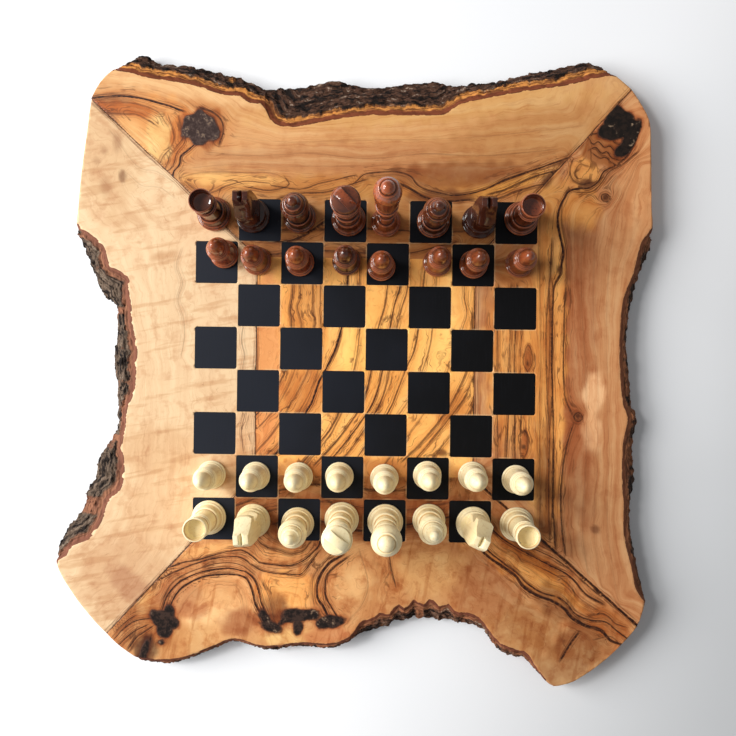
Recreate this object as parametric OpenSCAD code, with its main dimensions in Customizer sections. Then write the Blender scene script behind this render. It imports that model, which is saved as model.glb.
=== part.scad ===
// Olive wood chessboard with live bark edges, set up with its thirty-two turned pieces.
// Millimetres, +Z up. The origin is on the underside, below the centre of the playing field.
// +X runs from the a file to the h file and +Y from the first rank to the eighth.

/* [Board] */
// Thickness of the four slabs and of the centre panel
board_t = 18; // [14:0.5:24]
// Width of the centre panel along the ranks
panel_w = 153; // [146:0.5:160]
// Depth of the centre panel along the files
panel_d = 153; // [146:0.5:158]
// How far the centre panel sits toward the eighth rank
panel_shift = 2.5; // [0:0.5:4]
// Soft rounding of the sanded corners of the board
edge_ease = 2; // [1:0.25:4]

/* [Mitre tips] */
// Left end of the mitre at the a8 corner
nw_tip_x = -195; // [-205:1:-185]
// Upper end of the mitre at the a8 corner
nw_tip_y = 189; // [180:1:200]
// Right end of the mitre at the h8 corner
ne_tip_x = 185; // [176:1:195]
// Upper end of the mitre at the h8 corner
ne_tip_y = 200.5; // [190:0.5:210]
// Right end of the mitre at the h1 corner
se_tip_x = 194; // [185:1:204]
// Lower end of the mitre at the h1 corner
se_tip_y = -177; // [-187:1:-168]
// Left end of the mitre at the a1 corner
sw_tip_x = -179.5; // [-190:0.5:-170]
// Lower end of the mitre at the a1 corner
sw_tip_y = -187; // [-197:1:-178]

/* [Bark] */
// How deep the furrows of the bark are
bark_rough = 1.1; // [0:0.1:2]
// Distance from one bark furrow to the next
furrow_pitch = 13; // [10:0.5:20]
// Depth of the scallops in the middle of the south edge
scallop = 2.6; // [0:0.2:4]
// Distance from one scallop to the next
scallop_pitch = 12; // [10:0.5:16]
// Length of edge from one cross-section of the bark to the next
bark_step = 3.5; // [3:0.5:6]

/* [Squares] */
// Side of one square of the playing field
square = 30; // [27:0.5:32]
// Depth of the milled pocket under each black square
pocket_depth = 3; // [2:0.5:6]
// Corner radius that the milling cutter leaves
pocket_r = 1.5; // [1:0.25:3]
// Strip of wood left between a pocket and the line of the square
pocket_margin = 0.25; // [0.1:0.05:0.8]
// Glue gap round each black inlay
inlay_gap = 0.1; // [0.05:0.05:0.3]

/* [Turned mouldings] */
// Height of the round foot moulding of every piece
foot_h = 3.4; // [2.5:0.1:4.5]
// How far the ring above the foot is set in
foot_step = 1.3; // [0.8:0.1:2]
// Height of the fine rings
ring_h = 1.6; // [1.2:0.1:2.2]

/* [Pawn] */
// Height of a pawn
pawn_h = 42; // [38:0.5:47]
// Diameter of its foot
pawn_foot_d = 20; // [18:0.5:22]
// Diameter of its ringed barrel
pawn_barrel_d = 16; // [14.4:0.2:17]
// Height of the barrel from its lowest ring to the head
pawn_barrel_h = 10; // [9.5:0.5:12]
// Diameter of its bullet head
pawn_head_d = 10.6; // [9.4:0.2:11.4]
// Height of its bullet head
pawn_head_h = 11; // [9:0.5:13]

/* [Rook] */
// Height of a rook
rook_h = 45; // [41:0.5:50]
// Diameter of its foot
rook_foot_d = 24; // [22:0.5:26]
// Diameter of its waist
rook_neck_d = 13; // [11:0.2:14]
// Outer diameter of its cup
rook_cup_d = 16; // [14:0.2:18]
// Wall of its cup
rook_wall = 1.4; // [1:0.1:2]
// Depth of its cup
rook_cup_depth = 8; // [5:0.5:9]
// Height of the cup from the collar to the rim
rook_cup_h = 11; // [10:0.5:14]

/* [Bishop] */
// Height of a bishop
bishop_h = 58; // [53:0.5:64]
// Diameter of its foot
bishop_foot_d = 23; // [21:0.5:26]
// Diameter of its neck
bishop_neck_d = 13; // [11:0.2:14]
// Diameter of its hive-shaped head
bishop_head_d = 18.8; // [17:0.2:20]
// Height of the head below the finial
bishop_head_h = 21; // [19:0.5:24]
// Diameter of the ball finial
finial_d = 6.4; // [5:0.2:7]

/* [Queen] */
// Height of the light queen
light_queen_h = 75; // [70:0.5:80]
// Height of the dark queen
dark_queen_h = 67.5; // [63:0.5:72]
// Diameter of its foot
queen_foot_d = 24; // [22:0.5:26]
// Diameter of its neck
queen_neck_d = 13.4; // [11.4:0.2:14.4]
// Diameter of its crown
queen_crown_d = 19.4; // [17:0.2:22]
// Height of its crown
queen_crown_h = 14; // [12:0.5:16]
// Width of the flat bar left across the crown
queen_bar_w = 6.2; // [5:0.2:7.4]
// Depth of the two cuts beside the bar
queen_cut_depth = 3; // [2:0.2:4.5]
// Slope at which the floor of each cut falls away from the bar
queen_cut_slope = 12; // [6:1:20]

/* [King] */
// Height of the light king
light_king_h = 76; // [70:0.5:82]
// Diameter of its foot
light_king_foot_d = 25; // [23:0.5:27]
// Diameter of its stem
light_king_neck_d = 13.6; // [12:0.2:14.6]
// Diameter of its domed head
light_king_head_d = 19.4; // [17.4:0.2:21]
// Height of the dark king, which is taller and slimmer
dark_king_h = 108; // [100:0.5:114]
// Diameter of its foot
dark_king_foot_d = 21; // [19:0.5:23]
// Diameter of its stem
dark_king_neck_d = 9.2; // [8.2:0.2:10.2]
// Diameter of its domed head
dark_king_head_d = 16.4; // [15:0.2:18]
// Where the light king's head is widest, as a share of the head
light_king_widest = 0.36; // [0.3:0.02:0.5]
// Where the dark king's head is widest, as a share of the head
dark_king_widest = 0.74; // [0.6:0.02:0.8]
// Where the light king's head starts, as a share of the piece
light_king_head_from = 0.72; // [0.68:0.01:0.75]
// Where the dark king's head starts, as a share of the piece
dark_king_head_from = 0.56; // [0.52:0.01:0.6]
// Width of the cap, as a share of the head
king_cap_share = 0.54; // [0.48:0.01:0.6]
// Height of the cap
king_cap_h = 4.5; // [3.5:0.25:6]

/* [Knight] */
// Height of a knight to the tips of its ears
knight_h = 54; // [49:0.5:59]
// Diameter of its foot
knight_foot_d = 24; // [22:0.5:26]
// Thickness between the sawn cheeks at the shoulder
knight_shoulder_w = 14; // [12:0.5:16]
// Thickness between the sawn cheeks at the ears
knight_ear_w = 9.6; // [8:0.2:11]
// Depth of the notch between the ears
ear_notch = 3.6; // [2:0.2:5]
// Width of the slanting groove on each cheek
cheek_groove_d = 3; // [2:0.2:4]

/* [Hidden] */
$fn = 64;
files = 8;
light_wood = [0.93, 0.87, 0.70];
dark_wood = [0.40, 0.19, 0.12];
inlay_black = [0.09, 0.10, 0.12];
north_wood = [0.80, 0.61, 0.41];
east_wood = [0.76, 0.58, 0.43];
south_wood = [0.74, 0.54, 0.36];
west_wood = [0.90, 0.75, 0.57];
panel_wood = [0.87, 0.67, 0.40];

// Tips of the mitres, clockwise from the a8 corner, and the corners of the panel that they start from
nw_tip = [nw_tip_x, nw_tip_y];
ne_tip = [ne_tip_x, ne_tip_y];
se_tip = [se_tip_x, se_tip_y];
sw_tip = [sw_tip_x, sw_tip_y];
nw_inner = [-panel_w / 2, panel_shift + panel_d / 2];
ne_inner = [panel_w / 2, panel_shift + panel_d / 2];
se_inner = [panel_w / 2, panel_shift - panel_d / 2];
sw_inner = [-panel_w / 2, panel_shift - panel_d / 2];

// Live edges, each drawn over the straight line between two mitre tips, clockwise round the board.
// A row holds the distance along that line, then how far out the sawn top face and the bark reach.
// The rows at distance 0 and the last but one are the tips, and one row runs on past each of them.
north_edge = [
    [-5, -11, -11], [0, 0, 0], [6, 11, 11], [15, 19.5, 21], [20, 18.5, 27], [30, 16.5, 33],
    [37, 14, 34], [45, 12.5, 28], [70, 8, 24.5], [93, 0.5, 18.5], [105, -1, 15], [110, -5, 13],
    [121, -8, 8], [125, -17, 8], [132, -22, 9], [142, -23, 8.5], [170, -18.5, 13], [190, -16, 8.5],
    [209, -16, 8], [245, -16.5, 11], [251, -15, 8.5], [258, -9.5, 8.5], [288, -3.5, 11.5],
    [312, 0, 16.5], [335, 3, 20], [355, 7.5, 22], [369, 9, 11], [375, 4.5, 4.5], [380, 0, 0],
    [384, -5, -5]
];
east_edge = [
    [-4, -4, -4], [0, 0, 0], [9, 6, 6], [22, 12.5, 12.5], [40, 13.5, 13.5], [84, 13.5, 13.5],
    [98, 13.5, 14.5], [103, 8.5, 15], [109, 4.5, 15], [130, -1, 6.5], [147, -8, 2], [176, -11, -2.5],
    [200, -11, -1.5], [222, -9, -0.5], [231, -6, 3.5], [249, -9.5, 0.5], [277, -10.5, 2],
    [290, -9.5, -1], [314, -9.5, -1], [336, -4.5, 2.5], [350, -2, 5], [357, 2, 6.5], [360, 5, 6.5],
    [372, 2.5, 2.5], [377.5, 0, 0], [381, -2, -2]
];
south_edge = [
    [-4, -4, -4], [0, 0, 0], [7, 8.5, 8.5], [24, 24.5, 24.5], [44, 38, 38], [53, 41, 41],
    [61, 41, 41.5], [71, 28.5, 33], [78.5, 17, 24.5], [92, 12.5, 21.5], [101, 6, 14], [107, -3, 4],
    [114, -10, 1], [124, -12, -1], [137, -18, -3], [152, -20, -4.5], [166, -17, -3],
    [180, -11.5, 1.5], [195, -6, 6], [202, 3.5, 10.5], [216, 8.5, 15], [236, 7.5, 13.5],
    [263, 9.5, 16], [284, 4, 10], [297, 8.5, 14], [317, 16, 21.5], [330, 18, 24.5], [348, 17, 22],
    [354, 16, 17.5], [364.5, 9, 9], [373.5, 0, 0], [378, -6, -6]
];
west_edge = [
    [-4, -4.5, -4.5], [0, 0, 0], [8.5, 8, 8], [28.5, 23, 23], [51, 34, 34.5], [55, 26.5, 36.5],
    [62, 22, 35], [66, 10.5, 33], [75, 3, 28], [82, -1, 21], [92, -4, 14.5], [99, -12, 15],
    [108, -16, 8], [121, -16.5, 6.5], [132, -15.5, -1], [144, -18, -8], [158, -20, -9],
    [169, -25, -9.5], [187, -27, -7.5], [201, -28, -9], [214, -25.5, -11.5], [232, -24.5, -10],
    [237, -23.5, -2.5], [251, -22.5, 3.5], [258, -11, 6], [273, -6, 12], [284, 6.5, 16.5],
    [288.5, 12.5, 14], [298, 12, 12], [326, 8.5, 8.5], [350, 4.5, 4.5], [376, 0, 0], [381, -3, -3]
];
// Stretch of the south edge that is scalloped, in distances along its tip line
scallop_from = 112;
scallop_to = 198;
// Share of the bark's reach at five heights, from the underside up to the sawn face
bark_share = [0.8, 0.95, 1, 0.55, 0];
// How far the lofted slabs run in under the panel, and the mitre cuts run out past the bark
slab_inward = 150;
cut_past = 0.9;

// Set-up of the pieces: name of the square, then how far each stands off its centre, then its turn
SETUP = [
    ["a8", -2, 3.5, 0], ["b8", -5, 2.5, 180], ["c8", -2, 2, 0], ["d8", 2.2, 1, -46],
    ["e8", -1.8, -0.8, 0], ["f8", 1.5, 0, 0], ["g8", 3.5, 0.5, 180], ["h8", 3, 3, 0],
    ["a7", 5.5, 5.5, 0], ["b7", -1.5, 1, 0], ["c7", -1.5, 0.5, 0], ["d7", 1, 1.5, 0],
    ["e7", -4.5, -2, 0], ["f7", 4.5, 1.5, 0], ["g7", 0, 0.5, 0], ["h7", 2, 1.5, 0],
    ["a2", -1.5, 1, 0], ["b2", -0.5, 0.5, 0], ["c2", -0.5, 0.5, 0], ["d2", -2, 1, 0],
    ["e2", -0.5, 0, 0], ["f2", -0.5, 2.5, 0], ["g2", 1, 2.5, 0], ["h2", 1.5, 0.5, 0],
    ["a1", -3, 1, 0], ["b1", -2, -1, 5], ["c1", -0.8, -2.5, 0], ["d1", 0, 1, -36],
    ["e1", 0.5, -0.5, 0], ["f1", 1, 1, 0], ["g1", 2, -1, -25], ["h1", 2.5, -1, 0]
];

// Centre of a square, counted from file a and rank 1
function square_centre(file, rank) = [(file - (files + 1) / 2) * square, (rank - (files + 1) / 2) * square];

// Smooth curve through the rows of a live edge
function row_before(rows, s, i = 0) =
    i >= len(rows) - 2 || s <= rows[i + 1][0] ? i : row_before(rows, s, i + 1);
function row_slope(rows, i, k) =
    let (a = rows[max(i - 1, 0)], b = rows[min(i + 1, len(rows) - 1)]) (b[k] - a[k]) / (b[0] - a[0]);
function edge_at(rows, s, k) =
    let (
        i = row_before(rows, s),
        a = rows[i],
        b = rows[i + 1],
        w = b[0] - a[0],
        t = (s - a[0]) / w
    )
    a[k] * (2 * t ^ 3 - 3 * t ^ 2 + 1) + row_slope(rows, i, k) * w * (t ^ 3 - 2 * t ^ 2 + t)
    + b[k] * (3 * t ^ 2 - 2 * t ^ 3) + row_slope(rows, i + 1, k) * w * (t ^ 3 - t ^ 2);

// Outlines of turned work, as points of radius and height going up
function bead(z, r, h, n = 6) =
    [for (i = [0:n]) let (a = -90 + 180 * i / n) [r - h / 2 + h / 2 * cos(a), z + h / 2 + h / 2 * sin(a)]];
function sweep(z0, r0, z1, r1, hollow, n = 8) =
    [for (i = [0:n]) let (t = i / n) [r0 + (r1 - r0) * t - hollow * sin(180 * t), z0 + (z1 - z0) * t]];
function bell(z0, r0, z1, r1, n = 8) =
    [for (i = [0:n]) let (a = 90 * i / n) [r1 + (r0 - r1) * (1 - sin(a)), z0 + (z1 - z0) * (1 - cos(a))]];
function dome(z0, r, z1, n = 8) =
    [for (i = [0:n]) let (a = 90 * i / n) [r * cos(a), z0 + (z1 - z0) * sin(a)]];
function finial(z, r, n = 8) =
    [for (i = [1:n]) let (a = -90 + 180 * i / n) [r * cos(a), z + r + r * sin(a)]];
function foot(d) = concat(bead(0, d / 2, foot_h), bead(foot_h, d / 2 - foot_step, ring_h));
foot_top = foot_h + ring_h;
wide_ring_h = 1.5 * ring_h;

// Solid of revolution from such an outline
module turned(path) {
    last = path[len(path) - 1];
    cap = last[0] > 0 ? [[0, last[1]]] : [];
    rotate_extrude() polygon(concat([[0, path[0][1]]], path, cap));
}

module rounded_square(side, r) {
    square([side, side - 2 * r], center = true);
    square([side - 2 * r, side], center = true);
    for (x = [-1, 1], y = [-1, 1]) translate([x * (side / 2 - r), y * (side / 2 - r)]) circle(r);
}

// Pockets of the black squares among some files and ranks
module pockets(file_list, rank_list) {
    for (f = file_list, r = rank_list)
        if ((f + r) % 2 == 0)
            translate(concat(square_centre(f, r), board_t - pocket_depth))
                linear_extrude(pocket_depth + 1) rounded_square(square - 2 * pocket_margin, pocket_r);
}

// Blank of one slab: cross-sections lofted along its live edge, from one mitre tip to the next
module live_edge_blank(tip_a, tip_b, rows, scallops = false) {
    last = len(rows) - 1;
    drawn = rows[last - 1][0];
    span = norm(tip_b - tip_a);
    along = (tip_b - tip_a) / span;
    out = [-along[1], along[0]];
    count = ceil(drawn / bark_step);
    stations = concat([rows[0][0]], [for (i = [0:count]) drawn * i / count], [rows[last][0]]);
    heights = [0, edge_ease, board_t / 2, board_t - edge_ease, board_t];
    ring = len(heights) + 2;
    points = [
        for (s = stations)
            let (
                wave = scallops && s > scallop_from && s < scallop_to
                    ? scallop * sin(180 * (s - scallop_from) / (scallop_to - scallop_from))
                        * sin(360 * (s - scallop_from) / scallop_pitch)
                    : 0,
                sawn = edge_at(rows, s, 1) + wave,
                proud = max(edge_at(rows, s, 2) + wave / 2 - sawn, 0),
                bark = min(proud / 6, 1),
                foot_of_ring = tip_a + along * s * span / drawn
            )
            for (k = [0:ring - 1])
                let (
                    level = min(k, len(heights) - 1),
                    furrow = bark * bark_rough * sin(360 * s / furrow_pitch + 130 * k) * sin(25 * s + 70 * k),
                    eased = (k == 0 || k == len(heights) - 1) ? edge_ease * (1 - bark) / 2 : 0,
                    surface = sawn + proud * bark_share[level] + (k < len(heights) - 1 ? furrow : 0) - eased,
                    reach = k < len(heights) ? surface : -slab_inward,
                    z = k < len(heights) ? heights[k] : (k == len(heights) ? board_t : 0)
                )
                concat(foot_of_ring + out * reach, z)
    ];
    sides = [
        for (i = [0:len(stations) - 2], k = [0:ring - 1])
            let (a = i * ring + k, b = i * ring + (k + 1) % ring)
            each [[a, b + ring, b], [a, a + ring, b + ring]]
    ];
    first_end = [for (k = [1:ring - 2]) [0, k, k + 1]];
    base = (len(stations) - 1) * ring;
    far_end = [for (k = [1:ring - 2]) [base, base + k + 1, base + k]];
    polyhedron(points = points, faces = concat(sides, first_end, far_end));
}

// Slab trimmed along both mitres and along the panel, with its pockets
module slab(tip_a, tip_b, inner_a, inner_b, rows, file_list, rank_list, scallops = false) {
    past_a = tip_a + (tip_a - inner_a) * cut_past;
    past_b = tip_b + (tip_b - inner_b) * cut_past;
    difference() {
        intersection() {
            live_edge_blank(tip_a, tip_b, rows, scallops);
            translate([0, 0, -1]) linear_extrude(board_t + 2) polygon([inner_a, past_a, past_b, inner_b]);
        }
        pockets(file_list, rank_list);
    }
}

module north_slab() {
    color(north_wood) slab(nw_tip, ne_tip, nw_inner, ne_inner, north_edge, [1:files], [7, 8]);
}

module east_slab() {
    color(east_wood) slab(ne_tip, se_tip, ne_inner, se_inner, east_edge, [7, 8], [1:files]);
}

module south_slab() {
    color(south_wood) slab(se_tip, sw_tip, se_inner, sw_inner, south_edge, [1:files], [1, 2], true);
}

module west_slab() {
    color(west_wood) slab(sw_tip, nw_tip, sw_inner, nw_inner, west_edge, [1, 2], [1:files]);
}

module centre_panel() {
    color(panel_wood)
        difference() {
            translate(concat(sw_inner, 0)) cube([panel_w, panel_d, board_t]);
            pockets([2:7], [2:7]);
        }
}

// The four black inlays of one rank
module black_squares(rank) {
    color(inlay_black)
        for (f = [1:files])
            if ((f + rank) % 2 == 0)
                translate(concat(square_centre(f, rank), board_t - pocket_depth))
                    linear_extrude(pocket_depth)
                        rounded_square(square - 2 * (pocket_margin + inlay_gap), pocket_r - inlay_gap);
}

// Puts a piece on the board at its square in the set-up
module standing_on(name) {
    row = SETUP[search([name], SETUP)[0]];
    file = ord(name[0]) - ord("a") + 1;
    rank = ord(name[1]) - ord("0");
    translate(concat(square_centre(file, rank) + [row[1], row[2]], board_t)) rotate(row[3]) children();
}

module pawn() {
    r = pawn_head_d / 2;
    barrel_r = pawn_barrel_d / 2;
    head_z = pawn_h - pawn_head_h;
    barrel_z = head_z - pawn_barrel_h;
    upper_z = barrel_z + 2 * wide_ring_h;
    turned(concat(
        foot(pawn_foot_d),
        sweep(foot_top, pawn_foot_d / 2 - 2, barrel_z, barrel_r - 1.4, 0.8),
        bead(barrel_z, barrel_r, wide_ring_h),
        bead(barrel_z + wide_ring_h, barrel_r - 0.2, wide_ring_h),
        bead(upper_z, barrel_r - 0.9, ring_h),
        bead(upper_z + ring_h, barrel_r - 1.7, ring_h),
        sweep(upper_z + 2 * ring_h, barrel_r - 2.4, head_z, r, 0, 1),
        dome(head_z, r, pawn_h, 10)
    ));
}

module rook() {
    r = rook_cup_d / 2;
    cup_z = rook_h - rook_cup_h;
    bell_z = foot_top + 7;
    difference() {
        turned(concat(
            foot(rook_foot_d),
            bell(foot_top, rook_foot_d / 2 - 2, bell_z, rook_neck_d / 2 + 2),
            bead(bell_z, rook_neck_d / 2 + 2.6, ring_h),
            sweep(bell_z + ring_h, rook_neck_d / 2 + 1.2, cup_z - 2 * ring_h, rook_neck_d / 2, 0.4),
            bead(cup_z - 2 * ring_h, rook_neck_d / 2 + 1.6, ring_h),
            bead(cup_z - ring_h, rook_neck_d / 2 + 1, ring_h),
            sweep(cup_z, r - 1.6, rook_h - 1, r, -0.3),
            [[r - 0.4, rook_h]]
        ));
        translate([0, 0, rook_h - rook_cup_depth]) cylinder(h = rook_cup_depth + 1, r = r - rook_wall);
    }
}

module bishop() {
    r = bishop_head_d / 2;
    top_z = bishop_h - finial_d;
    head_z = top_z - bishop_head_h;
    bell_z = foot_top + 8;
    belly_z = head_z + bishop_head_h * 0.24;
    tier_z = head_z + bishop_head_h * 0.5;
    upper_tier_z = head_z + bishop_head_h * 0.76;
    turned(concat(
        foot(bishop_foot_d),
        bell(foot_top, bishop_foot_d / 2 - 2, bell_z, bishop_neck_d / 2 + 1.4),
        bead(bell_z, bishop_neck_d / 2 + 2.2, ring_h),
        sweep(bell_z + ring_h, bishop_neck_d / 2 + 0.8, head_z - ring_h, bishop_neck_d / 2, 0.6),
        bead(head_z - ring_h, bishop_neck_d / 2 + 1.8, ring_h),
        sweep(head_z, r - 2.4, belly_z, r, -0.6, 4),
        sweep(belly_z, r, tier_z, r - 2, -0.7, 5),
        bead(tier_z, r - 1.7, ring_h),
        sweep(tier_z + ring_h, r - 2.6, upper_tier_z, r - 4, -0.3, 4),
        bead(upper_tier_z, r - 3.7, ring_h),
        sweep(upper_tier_z + ring_h, r - 4.6, top_z, finial_d / 2 - 1, 0.3, 4),
        finial(top_z, finial_d / 2)
    ));
}

module queen(h) {
    r = queen_crown_d / 2;
    neck_r = queen_neck_d / 2;
    crown_z = h - queen_crown_h;
    bell_z = foot_top + 9;
    collar_z = crown_z - wide_ring_h - 2 * ring_h;
    middle_z = (bell_z + collar_z) / 2;
    rim_z = h - 6 - ring_h;
    floor_z = h - queen_cut_depth;
    difference() {
        turned(concat(
            foot(queen_foot_d),
            bell(foot_top, queen_foot_d / 2 - 1.8, bell_z, neck_r + 1.4),
            bead(bell_z, neck_r + 2.2, wide_ring_h),
            sweep(bell_z + wide_ring_h, neck_r + 0.8, middle_z, neck_r, 0.5),
            bead(middle_z, neck_r + 2, wide_ring_h),
            sweep(middle_z + wide_ring_h, neck_r + 0.5, collar_z, neck_r, 0.4),
            bead(collar_z, neck_r + 2.4, wide_ring_h),
            bead(collar_z + wide_ring_h, neck_r + 1.8, ring_h),
            bead(crown_z - ring_h, neck_r + 1.2, ring_h),
            sweep(crown_z, r - 1.8, rim_z, r - 0.6, -0.5),
            bead(rim_z, r, ring_h),
            dome(rim_z + ring_h, r - 0.8, h, 8)
        ));
        for (side = [0, 180])
            rotate(side) rotate([90, 0, 90]) translate([0, 0, -r]) linear_extrude(2 * r)
                polygon([
                    [queen_bar_w / 2, floor_z], [queen_bar_w / 2 - 0.3, h + 1], [r + 1, h + 1],
                    [r + 1, floor_z - (r + 1 - queen_bar_w / 2) * tan(queen_cut_slope)]
                ]);
    }
}

module king(h, foot_d, neck_d, head_d, head_from, widest) {
    r = head_d / 2;
    neck_r = neck_d / 2;
    cap_r = r * king_cap_share;
    cap_z = h - king_cap_h;
    head_z = h * head_from;
    widest_z = head_z + (cap_z - head_z) * widest;
    bell_z = foot_top + (head_z - foot_top) * 0.2;
    collar_z = head_z - 2 * wide_ring_h - ring_h;
    middle_z = (bell_z + collar_z) / 2;
    turned(concat(
        foot(foot_d),
        bell(foot_top, foot_d / 2 - 1.8, bell_z, neck_r + 1.2),
        bead(bell_z, neck_r + 2.2, wide_ring_h),
        sweep(bell_z + wide_ring_h, neck_r + 0.6, middle_z, neck_r, 0.4),
        bead(middle_z, neck_r + 1.6, wide_ring_h),
        sweep(middle_z + wide_ring_h, neck_r + 0.4, collar_z, neck_r, 0.4),
        bead(collar_z, r - 1, wide_ring_h),
        bead(collar_z + wide_ring_h, r - 1.4, ring_h),
        bead(head_z - wide_ring_h, r - 0.6, wide_ring_h),
        sweep(head_z, r - 1.6, widest_z, r, -0.4, 5),
        sweep(widest_z, r, cap_z - 2, cap_r + 1.4, -1.3),
        bead(cap_z - 2, cap_r + 1.6, 2),
        dome(cap_z, cap_r, h, 6)
    ));
}

// Knight's head seen from the side, muzzle toward +Y: poll, ears, forehead, muzzle, throat and chest
module knight_profile(z0) {
    top = knight_h;
    brow_z = top - 16;
    muzzle_z = top - 20;
    throat_z = top - 25;
    chest_z = z0 + 10;
    polygon([
        [-9, z0], [-10.5, z0 + 8], [-10.6, z0 + 16], [-9.4, top - 14], [-7, top - 5], [-5, top],
        [0.5, top], [3, top - 7.5], [9.6, brow_z], [10.4, muzzle_z + 1], [9.4, muzzle_z - 1],
        [5, throat_z + 3], [4.4, throat_z], [6.5, chest_z], [9.6, z0 + 4], [9.6, z0]
    ]);
}

module knight() {
    neck_z = foot_top + 7;
    r = knight_foot_d / 2;
    turned(concat(
        foot(knight_foot_d),
        bell(foot_top, r - 2, neck_z, r - 3),
        bead(neck_z, r - 1.6, ring_h),
        [[r - 2.6, neck_z + ring_h]]
    ));
    z0 = neck_z + ring_h / 2;
    difference() {
        intersection() {
            rotate([90, 0, 90]) translate([0, 0, -r]) linear_extrude(2 * r) knight_profile(z0);
            turned(concat(
                sweep(z0, r - 2.6, knight_h - 8, r - 2.4, -0.8),
                sweep(knight_h - 8, r - 2.4, knight_h, r - 5, -0.4)
            ));
            rotate([90, 0, 0]) translate([0, 0, -r]) linear_extrude(2 * r)
                polygon([
                    [-knight_shoulder_w / 2, z0], [knight_shoulder_w / 2, z0],
                    [knight_ear_w / 2, knight_h], [-knight_ear_w / 2, knight_h]
                ]);
        }
        rotate([90, 0, 0]) translate([0, 0, -r]) linear_extrude(2 * r)
            polygon([
                [-ear_notch / 2, knight_h + 0.1], [0, knight_h - ear_notch],
                [ear_notch / 2, knight_h + 0.1]
            ]);
        for (side = [-1, 1])
            translate([side * (knight_shoulder_w / 2 + 0.4), 1.5, z0 + 6]) rotate([-18, 0, 0])
                cylinder(h = 13, d = cheek_groove_d);
    }
}

module dark_pawn(name) {
    color(dark_wood) standing_on(name) pawn();
}

module dark_rook(name) {
    color(dark_wood) standing_on(name) rook();
}

module dark_knight(name) {
    color(dark_wood) standing_on(name) knight();
}

module dark_bishop(name) {
    color(dark_wood) standing_on(name) bishop();
}

module dark_queen(name) {
    color(dark_wood) standing_on(name) queen(dark_queen_h);
}

module dark_king(name) {
    color(dark_wood) standing_on(name)
        king(dark_king_h, dark_king_foot_d, dark_king_neck_d, dark_king_head_d,
            dark_king_head_from, dark_king_widest);
}

module light_pawn(name) {
    color(light_wood) standing_on(name) pawn();
}

module light_rook(name) {
    color(light_wood) standing_on(name) rook();
}

module light_knight(name) {
    color(light_wood) standing_on(name) knight();
}

module light_bishop(name) {
    color(light_wood) standing_on(name) bishop();
}

module light_queen(name) {
    color(light_wood) standing_on(name) queen(light_queen_h);
}

module light_king(name) {
    color(light_wood) standing_on(name)
        king(light_king_h, light_king_foot_d, light_king_neck_d, light_king_head_d,
            light_king_head_from, light_king_widest);
}

centre_panel();
north_slab();
east_slab();
south_slab();
west_slab();
black_squares(1);  // black_squares_rank_1
black_squares(2);  // black_squares_rank_2
black_squares(3);  // black_squares_rank_3
black_squares(4);  // black_squares_rank_4
black_squares(5);  // black_squares_rank_5
black_squares(6);  // black_squares_rank_6
black_squares(7);  // black_squares_rank_7
black_squares(8);  // black_squares_rank_8
dark_rook("a8");  // dark_rook_a8
dark_knight("b8");  // dark_knight_b8
dark_bishop("c8");  // dark_bishop_c8
dark_queen("d8");  // dark_queen_d8
dark_king("e8");  // dark_king_e8
dark_bishop("f8");  // dark_bishop_f8
dark_knight("g8");  // dark_knight_g8
dark_rook("h8");  // dark_rook_h8
dark_pawn("a7");  // dark_pawn_a7
dark_pawn("b7");  // dark_pawn_b7
dark_pawn("c7");  // dark_pawn_c7
dark_pawn("d7");  // dark_pawn_d7
dark_pawn("e7");  // dark_pawn_e7
dark_pawn("f7");  // dark_pawn_f7
dark_pawn("g7");  // dark_pawn_g7
dark_pawn("h7");  // dark_pawn_h7
light_pawn("a2");  // light_pawn_a2
light_pawn("b2");  // light_pawn_b2
light_pawn("c2");  // light_pawn_c2
light_pawn("d2");  // light_pawn_d2
light_pawn("e2");  // light_pawn_e2
light_pawn("f2");  // light_pawn_f2
light_pawn("g2");  // light_pawn_g2
light_pawn("h2");  // light_pawn_h2
light_rook("a1");  // light_rook_a1
light_knight("b1");  // light_knight_b1
light_bishop("c1");  // light_bishop_c1
light_queen("d1");  // light_queen_d1
light_king("e1");  // light_king_e1
light_bishop("f1");  // light_bishop_f1
light_knight("g1");  // light_knight_g1
light_rook("h1");  // light_rook_h1
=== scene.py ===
"""Dresses the live-edge olive wood chessboard and the thirty-two turned pieces that stand on it."""

import logging
import math
from contextlib import contextmanager
from dataclasses import dataclass
from enum import Enum
from typing import Any, Iterator, Sequence

import bmesh
import bpy
import numpy as np
from mathutils import Matrix, Vector, kdtree, noise


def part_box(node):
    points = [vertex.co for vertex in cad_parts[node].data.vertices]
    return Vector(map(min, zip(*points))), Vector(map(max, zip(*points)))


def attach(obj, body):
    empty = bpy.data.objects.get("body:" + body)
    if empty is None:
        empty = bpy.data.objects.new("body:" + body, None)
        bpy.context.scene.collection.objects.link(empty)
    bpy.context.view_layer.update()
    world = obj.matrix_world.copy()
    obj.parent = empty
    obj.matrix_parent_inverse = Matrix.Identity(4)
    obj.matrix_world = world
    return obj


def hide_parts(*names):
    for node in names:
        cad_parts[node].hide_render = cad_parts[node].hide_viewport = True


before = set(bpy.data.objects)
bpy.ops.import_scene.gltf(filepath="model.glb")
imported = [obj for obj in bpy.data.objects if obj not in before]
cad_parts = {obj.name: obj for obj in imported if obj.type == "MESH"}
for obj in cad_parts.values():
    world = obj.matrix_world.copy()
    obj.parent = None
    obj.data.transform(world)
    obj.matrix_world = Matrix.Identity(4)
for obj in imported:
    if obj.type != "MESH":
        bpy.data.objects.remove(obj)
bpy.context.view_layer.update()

LOG = logging.getLogger("chessboard")
MM = 0.001
BOARD_TOP = 18.0
SQUARE = 30.0
FILES = "abcdefgh"
FIELD = SQUARE * len(FILES)
# Pitch of the cells that the boards are cut into, and how many times coarser they are underneath.
DICE = 1.5
UNDERSIDE_DICE = 4
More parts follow.
